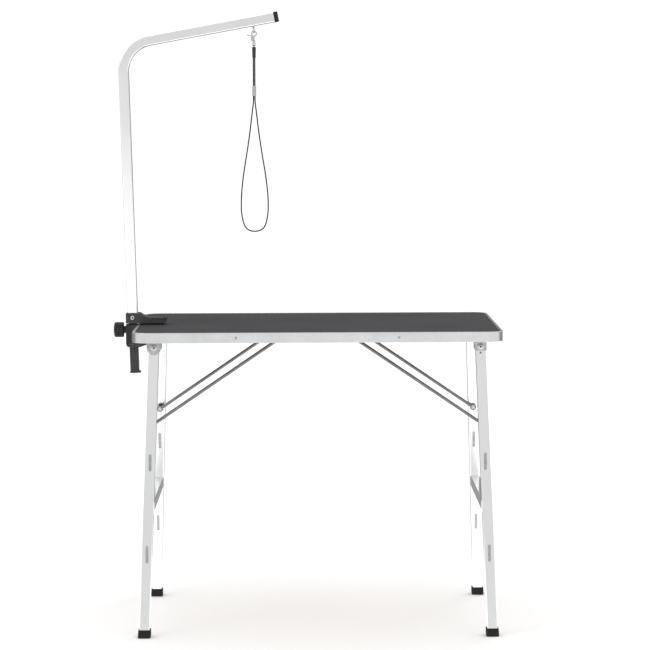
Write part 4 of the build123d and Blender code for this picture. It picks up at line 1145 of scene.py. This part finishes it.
@dataclass
class Studio:
    """The pale floor, the soft light and the camera.

    Attributes:
        floor_half: half the floor's side in metres.
        floor_colour: colour of the floor.
        floor_span: where along Y the mirrored floor turns from its front to its back level.
        mirrored_front: how bright the metal mirrors the floor in front of the table.
        mirrored_back: the same, behind the table.
        sky_low: strength of the light from the horizon.
        sky_rise: how much stronger it is from straight above.
        sky_span: the mirrored sky darkens between these two directions along Y.
        sky_levels: levels of the mirrored sky before and after that span.
        backdrop_level: how bright the backdrop looks.
        lamps: the soft lights.
        lamp_aim: the point that they face.
        camera_place: where the camera stands.
        turn: how far it turns right, in radians.
        dip: how far it looks down, in radians.
        roll: how far it rolls, in radians.
        lens: focal length in millimetres.
        sensor: width of its sensor in millimetres.
        clip_end: how far it sees, in metres.
    """

    floor_half: float = 40.0
    floor_colour: Colour = (0.90, 0.90, 0.90)
    floor_span: tuple[float, float] = (0.2, 1.2)
    mirrored_front: float = 1.38
    mirrored_back: float = 0.34
    sky_low: float = 0.62
    sky_rise: float = 0.85
    sky_span: tuple[float, float] = (0.5, 0.9)
    sky_levels: tuple[float, float] = (1.0, 0.3)
    backdrop_level: float = 1.05
    lamps: tuple[Lamp, ...] = (
        Lamp("left_window", (-3.4, -3.0, 3.0), 1.6, 18.0),
        Lamp("rear_window", (2.6, 3.6, 2.8), 1.4, 18.0),
    )
    lamp_aim: Place = (0.0, 0.0, 0.6)
    camera_place: Place = (-0.00233, -6.41554, 1.30373)
    turn: float = 0.0084
    dip: float = 0.0854
    roll: float = -0.0036
    lens: float = 138.75
    sensor: float = 36.0
    clip_end: float = 80.0

    def build(self) -> None:
        """Set up the floor, light and camera."""
        self.floor()
        self.world()
        for lamp in self.lamps:
            self.hang(lamp)
        self.camera()

    def floor(self) -> None:
        """Lay one wide flat floor, which the metal mirrors darker behind the table."""
        mesh = bmesh.new()
        bmesh.ops.create_grid(mesh, x_segments=2, y_segments=2, size=self.floor_half)
        sheet = piece_from(mesh, "studio_floor")
        material = bpy.data.materials.new("studio_floor_paint")
        material.use_nodes = True
        tree = material.node_tree
        shader = tree.nodes["Principled BSDF"]
        fill(shader, {"Base Color": (*self.floor_colour, 1.0), "Roughness": 1.0,
                      "Specular IOR Level": 0.0})
        where = tree.nodes.new("ShaderNodeTexCoord")
        levels = (self.mirrored_front, self.mirrored_back)
        level = self._front_to_back(tree, where.outputs["Object"], self.floor_span, levels)
        mirrored = tree.nodes.new("ShaderNodeEmission")
        tree.links.new(level, mirrored.inputs["Strength"])
        ray = tree.nodes.new("ShaderNodeLightPath")
        either = tree.nodes.new("ShaderNodeMixShader")
        tree.links.new(ray.outputs["Is Glossy Ray"], either.inputs["Fac"])
        tree.links.new(shader.outputs[0], either.inputs[1])
        tree.links.new(mirrored.outputs[0], either.inputs[2])
        tree.links.new(either.outputs[0], tree.nodes["Material Output"].inputs["Surface"])
        sheet.data.materials.append(material)

    def _front_to_back(self, tree: BLOCK, where: SOCKET, span: tuple[float, float],
                       levels: tuple[float, float]) -> SOCKET:
        """Blend between two levels along Y.

        Args:
            tree: the nodes to add to.
            where: socket of the place or direction.
            span: where the blend starts and ends along Y.
            levels: level before and after it.

        Returns:
            The level's socket.
        """
        parts = tree.nodes.new("ShaderNodeSeparateXYZ")
        tree.links.new(where, parts.inputs[0])
        blend = tree.nodes.new("ShaderNodeMapRange")
        blend.interpolation_type = "SMOOTHSTEP"
        labels = ("From Min", "From Max", "To Min", "To Max")
        fill(blend, dict(zip(labels, (*span, *levels))))
        tree.links.new(parts.outputs["Y"], blend.inputs["Value"])
        return blend.outputs["Result"]

    def world(self) -> None:
        """Light the room softly from above, with a plain white background."""
        world = bpy.data.worlds.new("studio_air")
        world.use_nodes = True
        tree = world.node_tree
        background = tree.nodes["Background"]
        where = tree.nodes.new("ShaderNodeTexCoord").outputs["Generated"]
        ray = tree.nodes.new("ShaderNodeLightPath")
        parts = tree.nodes.new("ShaderNodeSeparateXYZ")
        tree.links.new(where, parts.inputs[0])
        rise = combine(tree, "MULTIPLY", parts.outputs["Z"], self.sky_rise)
        sky = combine(tree, "ADD", rise, self.sky_low)
        shade = self._front_to_back(tree, where, self.sky_span, self.sky_levels)
        mirrored = tree.nodes.new("ShaderNodeMix")
        tree.links.new(ray.outputs["Is Glossy Ray"], mirrored.inputs["Factor"])
        tree.links.new(sky, mirrored.inputs["A"])
        tree.links.new(combine(tree, "MULTIPLY", sky, shade), mirrored.inputs["B"])
        seen = tree.nodes.new("ShaderNodeMix")
        tree.links.new(ray.outputs["Is Camera Ray"], seen.inputs["Factor"])
        tree.links.new(mirrored.outputs["Result"], seen.inputs["A"])
        seen.inputs["B"].default_value = self.backdrop_level
        tree.links.new(seen.outputs["Result"], background.inputs["Strength"])
        background.inputs["Color"].default_value = (1.0, 1.0, 1.0, 1.0)
        bpy.context.scene.world = world

    def hang(self, lamp: Lamp) -> None:
        """Hang one light that faces the table.

        Args:
            lamp: its name, place, size and power.
        """
        light = bpy.data.lights.new(lamp.name, "AREA")
        light.size = lamp.size
        light.energy = lamp.power
        hung = bpy.data.objects.new(lamp.name, light)
        aim = Vector(self.lamp_aim) - Vector(lamp.place)
        hung.matrix_world = facing(-aim, Vector(lamp.place))
        bpy.context.scene.collection.objects.link(hung)

    def camera(self) -> None:
        """Place the camera at the table's front, a little above its top."""
        ahead = Vector((sin(self.turn) * cos(self.dip), cos(self.turn) * cos(self.dip),
                        -sin(self.dip)))
        across = ahead.cross(Vector((0, 0, 1))).normalized()
        up = across.cross(ahead)
        right = across * cos(self.roll) + up * sin(self.roll)
        above = up * cos(self.roll) - across * sin(self.roll)
        data = bpy.data.cameras.new("table_view")
        data.lens = self.lens
        data.sensor_width = self.sensor
        data.clip_end = self.clip_end
        camera = bpy.data.objects.new("table_view", data)
        turn = Matrix((right, above, -ahead)).transposed().to_4x4()
        camera.matrix_world = Matrix.Translation(self.camera_place) @ turn
        bpy.context.scene.collection.objects.link(camera)
        bpy.context.scene.camera = camera


def main() -> None:
    """Build every sub-assembly in order."""
    logging.basicConfig(level=logging.INFO, format="%(name)s: %(message)s")
    bpy.context.scene.view_settings.view_transform = "Standard"
    Studio().build()
    workshop = Workshop()
    HangingNoose().build(workshop)
    TableTop().build(workshop)
    for hand in Hand:
        HingeSet(hand).build(workshop)
        LegFrame(hand).build(workshop)
    ClampAndArm().build(workshop)
    Fixings().build(workshop)


if __name__ == "__main__":
    main()
